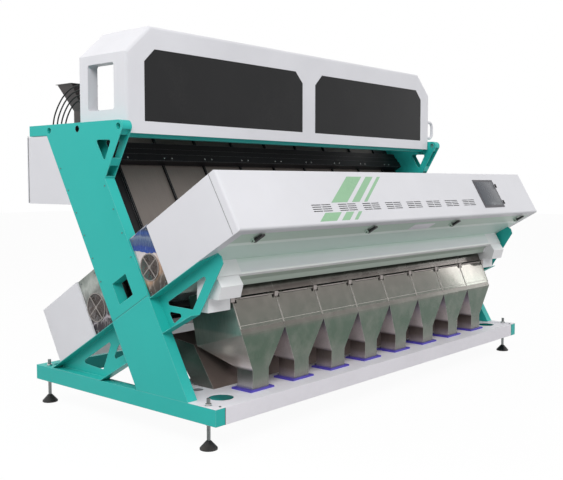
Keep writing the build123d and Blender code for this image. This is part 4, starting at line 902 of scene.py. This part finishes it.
    # Trough colours are painted reflection and painted shade, greenish and darker on its sideways faces.
    TROUGH = PolishedSheet(
        "trough_sheet",
        front=((0.0, 122, 108, 102), (1.0, 96, 86, 81)),
        side=(
            (0.0, 104, 102, 98), (0.3, 88, 92, 86), (0.55, 40, 76, 62), (0.75, 62, 82, 74),
            (1.0, 20, 52, 44),
        ),
        heights=(0.226, 0.485), metallic=0.3, roughness=0.3, cloud=0.15, cloud_colour=shade(120, 112, 106),
    )
    # Dark fill for the rings in the lifting holes, and painted shadow in the gaps beside the deck's apron.
    DARK_FILL = Moulding("dark_fill", shade(12, 13, 14), roughness=0.6, grain=900.0)
    SEAL = Moulding("seal_rubber", shade(84, 86, 88), roughness=0.6, grain=900.0)
    FLANGE = Moulding("flange_plate", shade(78, 66, 180), roughness=0.42, dust=0.15)
    GLASS = ClearSheet("view_glass")
    BEZEL = Moulding("screen_bezel", shade(62, 60, 68), roughness=0.32, dust=0.05)
    DISPLAY = DisplayFace("screen_face")
    BLACK_PLASTIC = Moulding("black_moulding", shade(26, 26, 27))
    RUBBER = Moulding("cable_sheath", shade(22, 22, 22), roughness=0.62, grain=700.0)
    ALUMINIUM = BrushedSheet("milled_aluminium", shade(188, 190, 192), roughness=0.34)
    BRIGHT = BrushedSheet("bright_steel", shade(206, 206, 204), roughness=0.2, anisotropy=0.1, dust=0.05)
    GUARD = BrushedSheet("guard_metal", shade(152, 146, 142), roughness=0.4, metallic=0.3, dust=0.03)
    GUARD_WIRE = BrushedSheet("guard_wire", shade(128, 118, 114), roughness=0.4, metallic=0.3, dust=0.0)
    FOOT = FootCoat("foot_coat")
    STRIPE = DarkPanel("stripe_film", shade(150, 196, 156), specular=0.45)
    FILM = PeeledFilm("peeled_film")


class Wardrobe:
    """Holds the finished materials and puts them on parts."""

    def __init__(self, shelf: EffectShelf) -> None:
        """Keep the effects that the finishes share."""
        self.shelf = shelf
        self.made: dict[Finish, bpy.types.Material] = {}

    def material(self, finish: Finish) -> bpy.types.Material:
        """Material of a finish, built on first use.

        Args:
            finish: The finish.

        Returns:
            Its material.
        """
        if finish not in self.made:
            self.made[finish] = finish.value.make(self.shelf)
        return self.made[finish]

    def dress(self, finish: Finish, *nodes: str) -> None:
        """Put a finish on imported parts.

        Args:
            finish: The finish.
            nodes: Names of the parts.
        """
        for node in nodes:
            part = frame["nodes"][node]
            if not part.material_slots:
                part.data.materials.append(None)
            for slot in part.material_slots:
                slot.material = self.material(finish)
            LOG.info("%s: %s", node, finish.value.name)


def at(shape: Shape, spot: Place | Vector) -> Shape:
    """Move a shape from the origin to a spot and hand it back."""
    return moved(shape, Matrix.Translation(spot))


def plate(x: Span, u: Span, v: Span, bevel: float, segments: int = 2) -> Shape:
    """Flat plate with rounded edges.

    Args:
        x: Its reach along the machine.
        u: Its reach up the posts.
        v: Its reach out of them.
        bevel: Radius of its edges.
        segments: Facets of each rounded edge.

    Returns:
        The shape, drawn as x, u and v.
    """
    shape = bmesh.new()
    bmesh.ops.create_cube(shape, size=1.0)
    spans = (x, u, v)
    bmesh.ops.scale(shape, vec=[high - low for low, high in spans], verts=shape.verts)
    at(shape, [(low + high) / 2 for low, high in spans])
    bmesh.ops.bevel(
        shape, geom=shape.edges[:], offset=bevel, segments=segments, profile=0.5, affect="EDGES",
        material=-1,
    )
    return shape


def holed_plate(x: Span, y: Span, z: Span, hole: Span, radius: float) -> Shape:
    """Flat level plate with a round hole.

    Args:
        x: Its reach along the machine.
        y: Its reach to the rear.
        z: Its underside and its thickness.
        hole: Middle of the hole.
        radius: Radius of the hole.

    Returns:
        The shape, in place.
    """
    shape = bmesh.new()
    bmesh.ops.create_circle(shape, segments=32, radius=radius)
    edge = bmesh.ops.create_circle(shape, segments=32, radius=1.0)["verts"]
    for vertex in edge:
        span = max(abs(vertex.co.x), abs(vertex.co.y))
        across, back = vertex.co.x / span, vertex.co.y / span
        vertex.co.x = (x[1] - hole[0]) * max(across, 0.0) + (x[0] - hole[0]) * max(-across, 0.0)
        vertex.co.y = (y[1] - hole[1]) * max(back, 0.0) + (y[0] - hole[1]) * max(-back, 0.0)
    bmesh.ops.bridge_loops(shape, edges=shape.edges[:])
    at(shape, (*hole, z[0]))
    raised = bmesh.ops.extrude_face_region(shape, geom=shape.faces[:])["geom"]
    lifted = [item for item in raised if isinstance(item, bmesh.types.BMVert)]
    bmesh.ops.translate(shape, vec=(0.0, 0.0, z[1]), verts=lifted)
    bmesh.ops.recalc_face_normals(shape, faces=shape.faces)
    return shape


def spun(shape: Shape, axis: Place, steps: int) -> Shape:
    """Turn a section once about an axis through the origin.

    Args:
        shape: The section.
        axis: The axis.
        steps: Facets round the axis.

    Returns:
        The same shape, closed and with its faces outwards.
    """
    bmesh.ops.spin(
        shape, geom=shape.verts[:] + shape.edges[:], cent=(0.0, 0.0, 0.0), axis=axis, angle=math.tau,
        steps=steps, use_merge=True,
    )
    bmesh.ops.remove_doubles(shape, verts=shape.verts, dist=1e-6)
    bmesh.ops.recalc_face_normals(shape, faces=shape.faces)
    return shape


def turned_ring(outline: tuple[Span, ...], steps: int = 24) -> Shape:
    """Ring turned about an upright axis at the origin.

    Args:
        outline: Points of its section, each a radius and a height.
        steps: Facets round the ring.

    Returns:
        The shape.
    """
    shape = bmesh.new()
    corners = [shape.verts.new((radius, 0.0, height)) for radius, height in outline]
    for first, second in zip(corners, corners[1:] + corners[:1]):
        shape.edges.new((first, second))
    return spun(shape, ALONG_Z, steps)


def wire_ring(radius: float, wire: float, steps: int = 40) -> Shape:
    """Ring of round wire about the machine's length, at the origin.

    Args:
        radius: Radius of the ring.
        wire: Radius of the wire.
        steps: Facets round the ring.

    Returns:
        The shape.
    """
    shape = bmesh.new()
    bmesh.ops.create_circle(shape, segments=6, radius=wire)
    return spun(at(shape, (0.0, radius, 0.0)), ALONG_X, steps)


def socket_screw(radius: float, height: float) -> Shape:
    """Round screw head with a socket, standing on the origin.

    Args:
        radius: Radius of the head.
        height: Height of the head.

    Returns:
        The shape, with its axis along v.
    """
    crown, rim, socket_depth = radius * 0.82, radius * 0.38, height * 0.6
    shape = bmesh.new()
    bmesh.ops.create_cone(
        shape, cap_ends=True, cap_tris=False, segments=12, radius1=radius, radius2=crown, depth=height
    )
    at(shape, (0.0, 0.0, height / 2))
    top = max(shape.faces, key=lambda face: face.calc_center_median().z)
    bmesh.ops.inset_region(shape, faces=[top], thickness=rim)
    sunk = bmesh.ops.extrude_discrete_faces(shape, faces=[top])["faces"]
    floor = list({vertex for face in sunk for vertex in face.verts})
    bmesh.ops.translate(shape, vec=(0.0, 0.0, -socket_depth), verts=floor)
    bmesh.ops.recalc_face_normals(shape, faces=shape.faces)
    return shape


def end_seals(end: float, u: Span, v: Span) -> Shape:
    """Thin sealing strips let into both ends of a box.

    Args:
        end: How far the box reaches to each side.
        u: The strips' reach along the second axis.
        v: Their reach along the third axis.

    Returns:
        Both strips as one shape.
    """
    sunk, proud, bevel = end - 0.001, end + 0.0005, 0.0004
    return join([plate(sorted((side * sunk, side * proud)), u, v, bevel) for hand, side in HANDS])


def mesh_of(name: str, shape: Shape) -> bpy.types.Mesh:
    """Make a mesh of a shape.

    Args:
        name: The mesh's name.
        shape: The shape, which is used up.

    Returns:
        The mesh.
    """
    mesh = bpy.data.meshes.new(name)
    shape.to_mesh(mesh)
    shape.free()
    return mesh


def join(shapes: list[Shape]) -> Shape:
    """Bring several shapes into one.

    Args:
        shapes: The shapes, which are used up.

    Returns:
        One shape that holds them all.
    """
    whole = bmesh.new()
    for shape in shapes:
        mesh = mesh_of("part", shape)
        whole.from_mesh(mesh)
        bpy.data.meshes.remove(mesh)
    return whole


def linked(name: str, data: bpy.types.ID) -> Piece:
    """Make an object of a mesh, curve, lamp or camera in the scene.

    Args:
        name: The object's name.
        data: What it holds.

    Returns:
        The object, at the origin.
    """
    made = bpy.data.objects.new(name, data)
    bpy.context.scene.collection.objects.link(made)
    return made


@dataclass
class SubAssembly:
    """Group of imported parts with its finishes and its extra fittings."""

    wardrobe: Wardrobe
    coats = {}

    def fittings(self) -> list[Piece]:
        """Extra pieces of this group."""
        return []

    def build(self) -> list[Piece]:
        """Coat the group's parts and make its extra pieces.

        Returns:
            The extra pieces.
        """
        for finish, nodes in self.coats.items():
            self.wardrobe.dress(finish, *nodes)
        return self.fittings()

    def mount(self, name: str, data: bpy.types.ID, finish: Finish, slot: str, body: str) -> Piece:
        """Finish a mesh or a curve and let it ride on a body.

        Args:
            name: The piece's name.
            data: The mesh or the curve, in place on the machine.
            finish: Its finish.
            slot: Not used.
            body: The body that it rides on.

        Returns:
            The piece.
        """
        data.materials.append(self.wardrobe.material(finish))
        made = linked(name, data)
        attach(made, body)
        LOG.info("%s on %s: %s", name, body, finish.value.name)
        return made

    def piece(
        self, name: str, shape: Shape, finish: Finish, slot: str, body: str = "machine_frame"
    ) -> Piece:
        """Make a finished piece of a shape.

        Args:
            name: The piece's name.
            shape: Its shape, in place on the machine; it is used up.
            finish: Its finish.
            slot: A material slot name, handed on to mount.
            body: The body that it rides on.

        Returns:
            The piece.
        """
        mesh = mesh_of(name, shape)
        mesh.shade_smooth()
        mesh.set_sharp_from_angle(angle=math.radians(32.0))
        return self.mount(name, mesh, finish, slot, body)


@dataclass
class Base(SubAssembly):
    """Side beams, deck and levelling feet."""

    beam_width: float = 0.07
    post_foot: float = 0.002
    corner_sheet: float = 0.003
    stud_hole: float = 0.02
    screw_inset: Span = (0.052, 0.022)
    screw_size: Span = (0.007, 0.004)
    gap_width: float = 0.004
    gap_depth: Span = (-0.0004, 0.001)
    gap_inset: float = 0.001
    gap_bevel: float = 0.0003
    coats = {
        Finish.GREEN: ("base_frame",),
        Finish.DECK: ("front_deck",),
        Finish.BRIGHT: ("foot_nuts",),
        Finish.FOOT: tuple(f"levelling_foot_{end}_{hand}" for end in ENDS for hand, side in HANDS),
    }

    def fittings(self) -> list[Piece]:
        """Corner plates over the ends of the beams, their screws, and dark strips beside the deck's apron
        that are painted shadow in the gap there.

        Returns:
            The corner plates, the screws and the shadow strips.
        """
        low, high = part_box("base_frame")
        back = min(point.y for point in points("posts") if point.z < high[2] + self.post_foot)
        front = shifted(low[1], self.gap_depth)
        apron = (low[2] + self.gap_inset, high[2] - self.gap_inset)
        corners, heads, strips = [], [], []
        for hand, side in HANDS:
            joint = side * (high[0] - self.beam_width)
            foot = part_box(f"levelling_foot_front_{hand}")
            hole = ((foot[0][0] + foot[1][0]) / 2, (foot[0][1] + foot[1][1]) / 2)
            x = sorted((side * high[0], joint))
            y, z = (low[1], back), (high[2], self.corner_sheet)
            corners.append(holed_plate(x, y, z, hole, self.stud_hole))
            inset = side * (high[0] - self.screw_inset[0])
            spot = (inset, low[1] + self.screw_inset[1], high[2] + self.corner_sheet)
            heads.append(at(socket_screw(*self.screw_size), spot))
            # Dark strip at each beam's end beside the apron: painted shadow of the gap.
            x = sorted((joint, joint + side * self.gap_width))
            strips.append(plate(x, front, apron, self.gap_bevel))
        return [
            self.piece("deck_corners", join(corners), Finish.DECK, "white_paint"),
            self.piece("deck_corner_screws", join(heads), Finish.SCREW, "bright_steel"),
            # The gap strips are painted shadow.
            self.piece("deck_gap_shadows", join(strips), Finish.DARK_FILL, "black_rubber"),
        ]


@dataclass
class SideFrames(SubAssembly):
    """Leaning posts, their braces and the cross beams."""

    hole_ring_place: Span = (0.3852, 1.681)
    hole_ring_outline: tuple[Span, ...] = (
        (0.0184, -0.067), (0.0189, -0.067), (0.0189, -0.001), (0.0184, -0.001),
    )
    coats = {
        Finish.GREEN: ("posts", "front_arms", "rear_struts", "top_beams"),
        Finish.SCREW: ("frame_screws",),
    }

    def fittings(self) -> list[Piece]:
        """Open black rings that line the middle lifting hole of each post, so that the hole is dark inside.

        Returns:
            The rings.
        """
        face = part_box("posts")[1][0]
        shapes = []
        for hand, side in HANDS:
            hole_ring = moved(turned_ring(self.hole_ring_outline), Matrix.Rotation(side * math.pi / 2, 4, "Y"))
            shapes.append(at(hole_ring, (side * face, *self.hole_ring_place)))
        return [self.piece("lifting_hole_rings", join(shapes), Finish.DARK_FILL, "black_rubber")]


@dataclass
class Hood(SubAssembly):
    """White hood with its dark windows."""

    coats = {Finish.WHITE: ("top_hood",), Finish.WINDOW: ("hood_windows",)}


@dataclass
class Feed(SubAssembly):
    """Feed trough, shaking trays, their drives and the cables from the feed down to the cabinet."""

    outlet: tuple[Span, Span, Span] = ((-1.617, -1.563), (0.3982, 0.4582), (1.84, 1.98))
    outlet_bevel: float = 0.004
    cable_x: float = -1.59
    cable_radius: float = 0.0045
    cable_start: Span = (0.4582, 1.955)
    cable_start_step: float = 0.03
    cable_end: Span = (0.7952, 1.65)
    cable_end_step: float = 0.043
    cable_route: tuple[Span, ...] = (
        (0.0, 0.0), (0.28, 0.0), (0.6, 0.14), (0.85, 0.4), (1.0, 0.7), (1.0, 1.0),
    )
    cable_lengths: tuple[float, ...] = (0.517, 0.458, 0.4, 0.341)
    collar_outline: tuple[Span, ...] = (
        (0.0047, 0.0), (0.008, 0.0), (0.008, 0.009), (0.0064, 0.012), (0.0047, 0.012),
    )
    coats = {
        Finish.GREEN: ("feeder_base",),
        Finish.BLACK: ("feeder_drives",),
        Finish.STAINLESS: ("feeder_trays",),
        Finish.HOPPER_COAT: ("feed_hopper",),
        Finish.RUBBER: ("feeder_cables",),
    }

    def fittings(self) -> list[Piece]:
        """The cables, and the box and collars that hold their ends.

        Returns:
            The ends and the cables.
        """
        cables, shapes = [], [plate(*self.outlet, self.outlet_bevel)]
        for index, length in enumerate(self.cable_lengths):
            y, z = self.cable_start[0], self.cable_start[1] - index * self.cable_start_step
            run = self.cable_end[0] - index * self.cable_end_step - y
            drop = self.cable_end[1] - z
            route = [(self.cable_x, y + run * along, z + drop * down) for along, down in self.cable_route]
            cables.append(self.cable(f"feeder_cable_{index + 1}", route, length))
            gland = moved(turned_ring(self.collar_outline), Matrix.Rotation(-math.pi / 2, 4, "X"))
            shapes += [at(gland, route[0]), at(turned_ring(self.collar_outline), route[-1])]
        ends = self.piece("cable_ends", join(shapes), Finish.BLACK_PLASTIC, "black_plastic")
        return [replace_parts(ends, "feeder_cables"), *cables]

    def cable(self, name: str, route: list[Place], length: float) -> Piece:
        """One black cable along a route.

        Args:
            name: The cable's name.
            route: Points that lead it, from the box to the cabinet.
            length: Not used.

        Returns:
            The cable.
        """
        curve = bpy.data.curves.new(name, "CURVE")
        curve.dimensions = "3D"
        curve.bevel_depth = self.cable_radius
        curve.bevel_resolution = 4
        curve.use_fill_caps = True
        spline = curve.splines.new("NURBS")
        spline.points.add(len(route) - 1)
        for point, place in zip(spline.points, route):
            point.co = (*place, 1.0)
        spline.order_u = 3
        spline.use_endpoint_u = True
        spline.resolution_u = 10
        made = self.mount(name, curve, Finish.RUBBER, "black_rubber", "machine_frame")
        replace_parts(made, "feeder_cables")
        return made


@dataclass
class ChuteBank(SubAssembly):
    """Chutes with their dividers and the screwed cover across them."""

    lane_pitch: float = 0.354
    cover_drop: float = 0.216
    screw_offset: float = 0.032
    screw_rise: float = 0.018
    screw_size: Span = (0.006, 0.003)
    coats = {Finish.CHUTE: ("chutes",), Finish.BLACK: ("chute_dividers", "chute_bars")}

    def fittings(self) -> list[Piece]:
        """Screws in pairs beside each divider, on the cover's face.

        Returns:
            The screws.
        """
        face = LeanFrame.reach("chute_bars")[1].z
        height = LeanFrame.reach("chute_dividers")[1].y - self.cover_drop + self.screw_rise
        shapes = []
        for edge in range(LANES + 1):
            for hand, side in HANDS:
                x = (edge - LANES / 2) * self.lane_pitch + side * self.screw_offset
                shapes.append(at(socket_screw(*self.screw_size), (x, height, face)))
        screws = LeanFrame.stand(join(shapes))
        return [self.piece("chute_cover_screws", screws, Finish.BRIGHT, "bright_steel")]


@dataclass
class FrontBox(SubAssembly):
    """Front optical box with its door, screen, end plates and fans."""

    stripe_bars: tuple[Span, ...] = ((-1.06, 0.15), (-0.865, 0.075), (-0.745, 0.034))
    stripe_spans: tuple[Span, ...] = ((0.522, 0.574), (0.636, 0.806))
    stripe_slant: float = 1.5
    stripe_film: float = 0.0005
    stripe_bevel: float = 0.0002
    screen_border: float = 0.017
    screen_depth: Span = (-0.0005, 0.0012)
    screen_bevel: float = 0.0006
    clip_heights: Span = (0.734, 0.596)
    clip_size: Place = (0.012, 0.03, 0.008)
    clip_bevel: float = 0.002
    ring_pitch: float = 0.0052
    ring_wire: float = 0.001
    ring_first: int = 3
    film_low: float = 0.994
    film_top: float = 0.004
    film_reach: Span = (0.636, 0.804)
    film_gap: float = 0.0006
    film_fold: float = 0.0012
    film_sheet: float = 0.0003
    under_plate: tuple[Span, Span] = ((0.0, 0.25), (1.264, 1.334))
    under_depth: Span = (-0.0012, 0.0004)
    under_bevel: float = 0.0005
    seal_margins: Span = (0.003, 0.006)
    seal_depth: Span = (0.0026, 0.0002)
    coats = {
        Finish.WHITE: ("front_door", "end_covers"),
        Finish.BOX_WHITE: ("front_box_shell",),
        Finish.BEZEL: ("touch_screen",),
        Finish.PLATE_STEEL: ("side_plates",),
        Finish.GUARD: ("fan_guards",),
        Finish.BLACK_PLASTIC: (
            *(f"door_latch_{number}" for number in (1, 2, 3, 4)),
            *(f"fan_rotor_{end}_{hand}" for end in ENDS for hand, side in HANDS),
        ),
    }

    def fittings(self) -> list[Piece]:
        """Fittings on the door, plate below the box, and film, guard wires and seals at its ends.

        Returns:
            The fittings.
        """
        return [
            self.stripes(), self.screen_face(), self.screen_clips(), self.pale_plate(), self.peeled_film(),
            self.guard_wires(), self.seals(),
        ]

    def stripes(self) -> Piece:
        """Slanted bars of film on the door, parted by the row of vents.

        Returns:
            The bars.
        """
        face = LeanFrame.reach("front_door")[1].z
        film = (face, face + self.stripe_film)
        shapes = []
        for start, width in self.stripe_bars:
            slant = Matrix.Identity(4)
            slant[0][1] = self.stripe_slant
            slant[0][3] = start - self.stripe_slant * self.stripe_spans[0][0]
            bars = [plate((0.0, width), span, film, self.stripe_bevel, 1) for span in self.stripe_spans]
            shapes += [moved(bar, slant) for bar in bars]
        shape = LeanFrame.stand(join(shapes))
        return self.piece("door_stripes", shape, Finish.STRIPE, "green_paint", "front_door")

    def screen_face(self) -> Piece:
        """Display behind its cover, inside the bezel.

        Returns:
            The display.
        """
        low, high = LeanFrame.reach("touch_screen")
        x, u = [(low[axis] + self.screen_border, high[axis] - self.screen_border) for axis in (0, 1)]
        shape = LeanFrame.stand(plate(x, u, shifted(high.z, self.screen_depth), self.screen_bevel))
        return self.piece("screen_display", shape, Finish.DISPLAY, "screen", "front_door")

    def screen_clips(self) -> Piece:
        """Two small black clips beside the screen.

        Returns:
            The clips.
        """
        width, length, height = self.clip_size
        start = LeanFrame.reach("touch_screen")[1].x + width
        face = LeanFrame.reach("front_door")[1].z
        x, v = (start, start + width), (face, face + height)
        spans = [(middle - length / 2, middle + length / 2) for middle in self.clip_heights]
        shapes = [plate(x, u, v, self.clip_bevel) for u in spans]
        shape = LeanFrame.stand(join(shapes))
        return self.piece("screen_clips", shape, Finish.BLACK_PLASTIC, "black_plastic", "front_door")

    def pale_plate(self) -> Piece:
        """Pale plate on the underside of the box.

        Returns:
            The plate.
        """
        low = LeanFrame.reach("front_door")[0].y
        x, v = self.under_plate
        shape = LeanFrame.stand(plate(x, shifted(low, self.under_depth), v, self.under_bevel))
        return self.piece("under_plate", shape, Finish.DECK, "white_paint")

    def peeled_film(self) -> Piece:
        """Protective film left across the top of the left side plate.

        Returns:
            The film.
        """
        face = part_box("side_plates")[0][0] - self.film_gap
        top = LeanFrame.reach("side_plates")[1].y - self.film_top
        start, end = self.film_reach
        shape = bmesh.new()
        bmesh.ops.create_grid(shape, x_segments=30, y_segments=14, size=0.5)
        for vertex in shape.verts:
            along, rise = vertex.co.x + 0.5, vertex.co.y + 0.5
            out = start + (end - start) * along
            # Both edges wander, and the film bunches into folds above the lower, torn one.
            edge = self.film_low + 0.003 * math.sin(along * 7.0 + 0.6) + 0.0015 * math.sin(along * 31.0)
            low = (edge - LeanFrame.out[2] * out) / LeanFrame.up[2]
            high = top - 0.003 * math.sin(along * 9.0)
            fold = (1.0 + math.sin(along * 27.0 + rise * 19.0)) * max(0.0, 1.0 - rise * 3.0)
            vertex.co = (face - self.film_fold * fold, low + (high - low) * rise, out)
        bmesh.ops.recalc_face_normals(shape, faces=shape.faces)
        bmesh.ops.solidify(shape, geom=shape.faces[:], thickness=self.film_sheet)
        return self.piece("film_strip", LeanFrame.stand(shape), Finish.FILM, "stainless")

    def guard_wires(self) -> Piece:
        """Rings of wire across the fan openings, held by the guards' spokes.

        Returns:
            The rings.
        """
        depth = (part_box("side_plates")[1][0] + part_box("fan_guards")[1][0]) / 2
        shapes = []
        for joint in frame["joints"]:
            if not joint["child"].startswith("fan_rotor"):
                continue
            place = Vector(joint["pos_m"])
            reach = max(math.hypot(tip.y - place.y, tip.z - place.z) for tip in points(joint["child"]))
            place.x = math.copysign(depth, place.x)
            for number in range(self.ring_first, round(reach / self.ring_pitch) + 1):
                shapes.append(at(wire_ring(number * self.ring_pitch, self.ring_wire), place))
        return self.piece("guard_wires", join(shapes), Finish.GUARD_WIRE, "bright_steel")

    def seals(self) -> Piece:
        """Grey sealing strips between the end covers and the door.

        Returns:
            The strips.
        """
        low, high = LeanFrame.reach("end_covers")
        u = (low.y + self.seal_margins[0], high.y - self.seal_margins[1])
        v = (high.z - self.seal_depth[0], high.z - self.seal_depth[1])
        shape = LeanFrame.stand(end_seals(high.x, u, v))
        return self.piece("end_seals", shape, Finish.SEAL, "black_rubber")


@dataclass
class RearBox(SubAssembly):
    """Rear optical box and its lid."""

    coats = {Finish.REAR_WHITE: ("rear_box_shell",), Finish.WHITE: ("rear_lid",)}


@dataclass
class Optics(SubAssembly):
    """Cameras, lamps, glasses, wipers and the air ejector."""

    coats = {
        Finish.ALUMINIUM: ("camera_modules", "lamp_bars"),
        Finish.BLACK: ("air_ejector",),
        Finish.GLASS: ("viewing_glass",),
        Finish.BRIGHT: ("wiper_rods",),
        Finish.BLACK_PLASTIC: ("wiper_carriages",),
    }


@dataclass
class HopperRow(SubAssembly):
    """Lower cover, collecting hoppers, their lids and the trough behind."""

    rim_width: float = 0.003
    rim_depth: Span = (-0.0004, 0.002)
    rim_bevel: float = 0.0008
    hem_place: float = 0.016
    flat: float = 0.0002
    side_reach: float = 0.001
    lids = tuple(f"hopper_lid_{number}" for number in range(1, LANES + 1))
    coats = {
        Finish.COVER_WHITE: ("lower_front_cover",),
        Finish.HOPPER_STEEL: ("hoppers",),
        Finish.LID_STEEL: lids,
        Finish.HINGE_STEEL: ("lid_hinge_rail",),
        Finish.FLANGE: ("spout_flanges",),
        Finish.TROUGH: ("catch_trough",),
    }

    def fittings(self) -> list[Piece]:
        """Rims along the edges of each lid, painted much lighter than the lid as a painted highlight."""
        return [self.lid_rim(lid) for lid in self.lids]

    def lid_rim(self, lid: str) -> Piece:
        """Folded rims at the sides of a lid and a hem near its foot, painted lighter than the lid as a
        painted highlight.

        Args:
            lid: The lid's name.

        Returns:
            The rims, which ride on the lid.
        """
        faces = [face for face in frame["nodes"][lid].data.polygons if face.normal.z > 0.1]
        top = max(faces, key=lambda face: face.area)
        normal = top.normal
        rise = normal.cross(ALONG_X)
        corners = points(lid)
        height = corners[top.vertices[0]].dot(normal)
        sheet = [corner for corner in corners if abs(corner.dot(normal) - height) < self.flat]
        left, right = min(corner.x for corner in sheet), max(corner.x for corner in sheet)
        sides = [corner for corner in sheet if min(corner.x - left, right - corner.x) < self.side_reach]
        foot, head = min(side.dot(rise) for side in sides), max(side.dot(rise) for side in sides)
        hem = foot + self.hem_place
        level = shifted(height, self.rim_depth)
        spans = (
            ((left, left + self.rim_width), (foot, head)),
            ((right - self.rim_width, right), (foot, head)),
            ((left, right), (hem, hem + self.rim_width)),
        )
        turn = Matrix((ALONG_X, tuple(rise), tuple(normal))).transposed().to_4x4()
        shape = moved(join([plate(x, along, level, self.rim_bevel) for x, along in spans]), turn)
        return self.piece(lid.replace("lid", "lid_rim"), shape, Finish.RIM_HIGHLIGHT, "stainless", lid)


@dataclass
class Cabinet(SubAssembly):
    """Electrical cabinet and its flaps."""

    seal_depth: Span = (0.004, 0.0005)
    seal_margin: float = 0.003
    coats = {Finish.WHITE: ("cabinet_shell", "cabinet_flap_left", "cabinet_flap_right")}

    def fittings(self) -> list[Piece]:
        """Grey sealing strips at the ends, where the flaps close on the cabinet.

        Returns:
            The strips.
        """
        low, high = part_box("cabinet_shell")
        y = (high[1] - self.seal_depth[0], high[1] - self.seal_depth[1])
        z = (low[2] + self.seal_margin, high[2] - self.seal_margin)
        return [self.piece("cabinet_seals", end_seals(high[0], y, z), Finish.SEAL, "black_rubber")]


@dataclass
class Lamp:
    """Soft studio lamp."""

    name: str
    place: Place
    aim: Place
    size: Span
    watts: float
    mirrored: bool = False

    def build(self) -> Piece:
        """Hang the lamp.

        Returns:
            The lamp.
        """
        light = bpy.data.lights.new(self.name, "AREA")
        light.shape = "RECTANGLE"
        light.size, light.size_y = self.size
        light.energy = self.watts
        lamp = linked(self.name, light)
        lamp.visible_glossy = self.mirrored
        lamp.location = self.place
        lamp.rotation_euler = (Vector(self.aim) - Vector(self.place)).to_track_quat("-Z", "Y").to_euler()
        return lamp


@dataclass
class Studio:
    """Pale floor, soft lamps, white surroundings and the camera."""

    camera_place: Place = (-4.5715, -3.6811, 1.373)
    camera_turn: Place = (85.989, 0.0, -49.033)
    lens: float = 52.84
    sensor: float = 36.0
    floor_size: float = 60.0
    floor_tones: Span = (0.36, 0.38)
    floor_glow: float = 0.95
    ambient: float = 0.5
    lamps: tuple[Lamp, ...] = (
        Lamp("key_lamp", (-5.4, -3.8, 5.4), (0.0, 0.0, 1.0), (4.0, 3.0), 278.0),
        Lamp("fill_lamp", (4.6, -5.2, 4.4), (0.2, 0.0, 1.0), (4.0, 3.0), 120.0),
        Lamp("back_lamp", (-4.2, 4.2, 4.4), (0.0, 0.0, 1.2), (4.0, 2.5), 120.0),
        Lamp("side_panel", (7.2, -3.42, 2.5), (1.0, -0.6, 0.65), (0.4, 1.4), 9.0, mirrored=True),
    )

    def build(self) -> None:
        """Set up the studio."""
        bpy.context.scene.view_settings.view_transform = "Standard"
        self.set_camera()
        self.set_world()
        self.lay_floor()
        for lamp in self.lamps:
            lamp.build()

    def set_camera(self) -> None:
        """Place the camera where the view was taken."""
        data = bpy.data.cameras.new("view_camera")
        data.lens = self.lens
        data.sensor_width = self.sensor
        data.sensor_fit = "HORIZONTAL"
        camera = linked("view_camera", data)
        camera.location = self.camera_place
        camera.rotation_euler = [math.radians(angle) for angle in self.camera_turn]
        bpy.context.scene.camera = camera

    def set_world(self) -> None:
        """White surroundings to the eye and to reflections, softer as light."""
        world = bpy.data.worlds.new("studio_world")
        world.use_nodes = True
        bpy.context.scene.world = world
        sheet = NodeSheet(world.node_tree)
        background = world.node_tree.nodes["Background"].inputs
        sheet.feed(background["Color"], FULL_LIGHT)
        sheet.feed(background["Strength"], sheet.span(sheet.backdrop(), WHOLE, (self.ambient, 1.0)))

    def lay_floor(self) -> None:
        """Wide white floor that keeps a light shadow."""
        shape = bmesh.new()
        bmesh.ops.create_grid(shape, x_segments=1, y_segments=1, size=self.floor_size / 2)
        mesh = mesh_of("studio_floor", shape)
        surface = Surface("studio_floor", {})
        seen = surface.backdrop()
        tones = [(tone, tone, tone, 1.0) for tone in self.floor_tones]
        lit = surface.mix(surface.noise(surface.place(), 0.8, 2.0), *tones)
        surface.coat({"Base Color": surface.mix(seen, lit, FULL_LIGHT), "Roughness": 0.9})
        surface.coat({"Specular IOR Level": 0.0})
        glow = surface.add("Emission", {"Color": FULL_LIGHT, "Strength": 1.0}).outputs[0]
        share = surface.times(seen, self.floor_glow)
        both = surface.add("MixShader", {0: share, 1: surface.shader.outputs[0], 2: glow}).outputs[0]
        surface.feed(surface.tree.nodes["Material Output"].inputs["Surface"], both)
        mesh.materials.append(surface.material)
        linked("studio_floor", mesh)


def main() -> None:
    """Build the studio and every sub-assembly in order."""
    logging.basicConfig(level=logging.INFO, format="%(message)s")
    Studio().build()
    wardrobe = Wardrobe(EffectShelf())
    for group in (Base, SideFrames, Hood, Feed, ChuteBank, FrontBox, RearBox, Optics, HopperRow, Cabinet):
        made = group(wardrobe).build()
        LOG.info("%s: %d extra pieces", group.__name__, len(made))


if __name__ == "__main__":
    main()
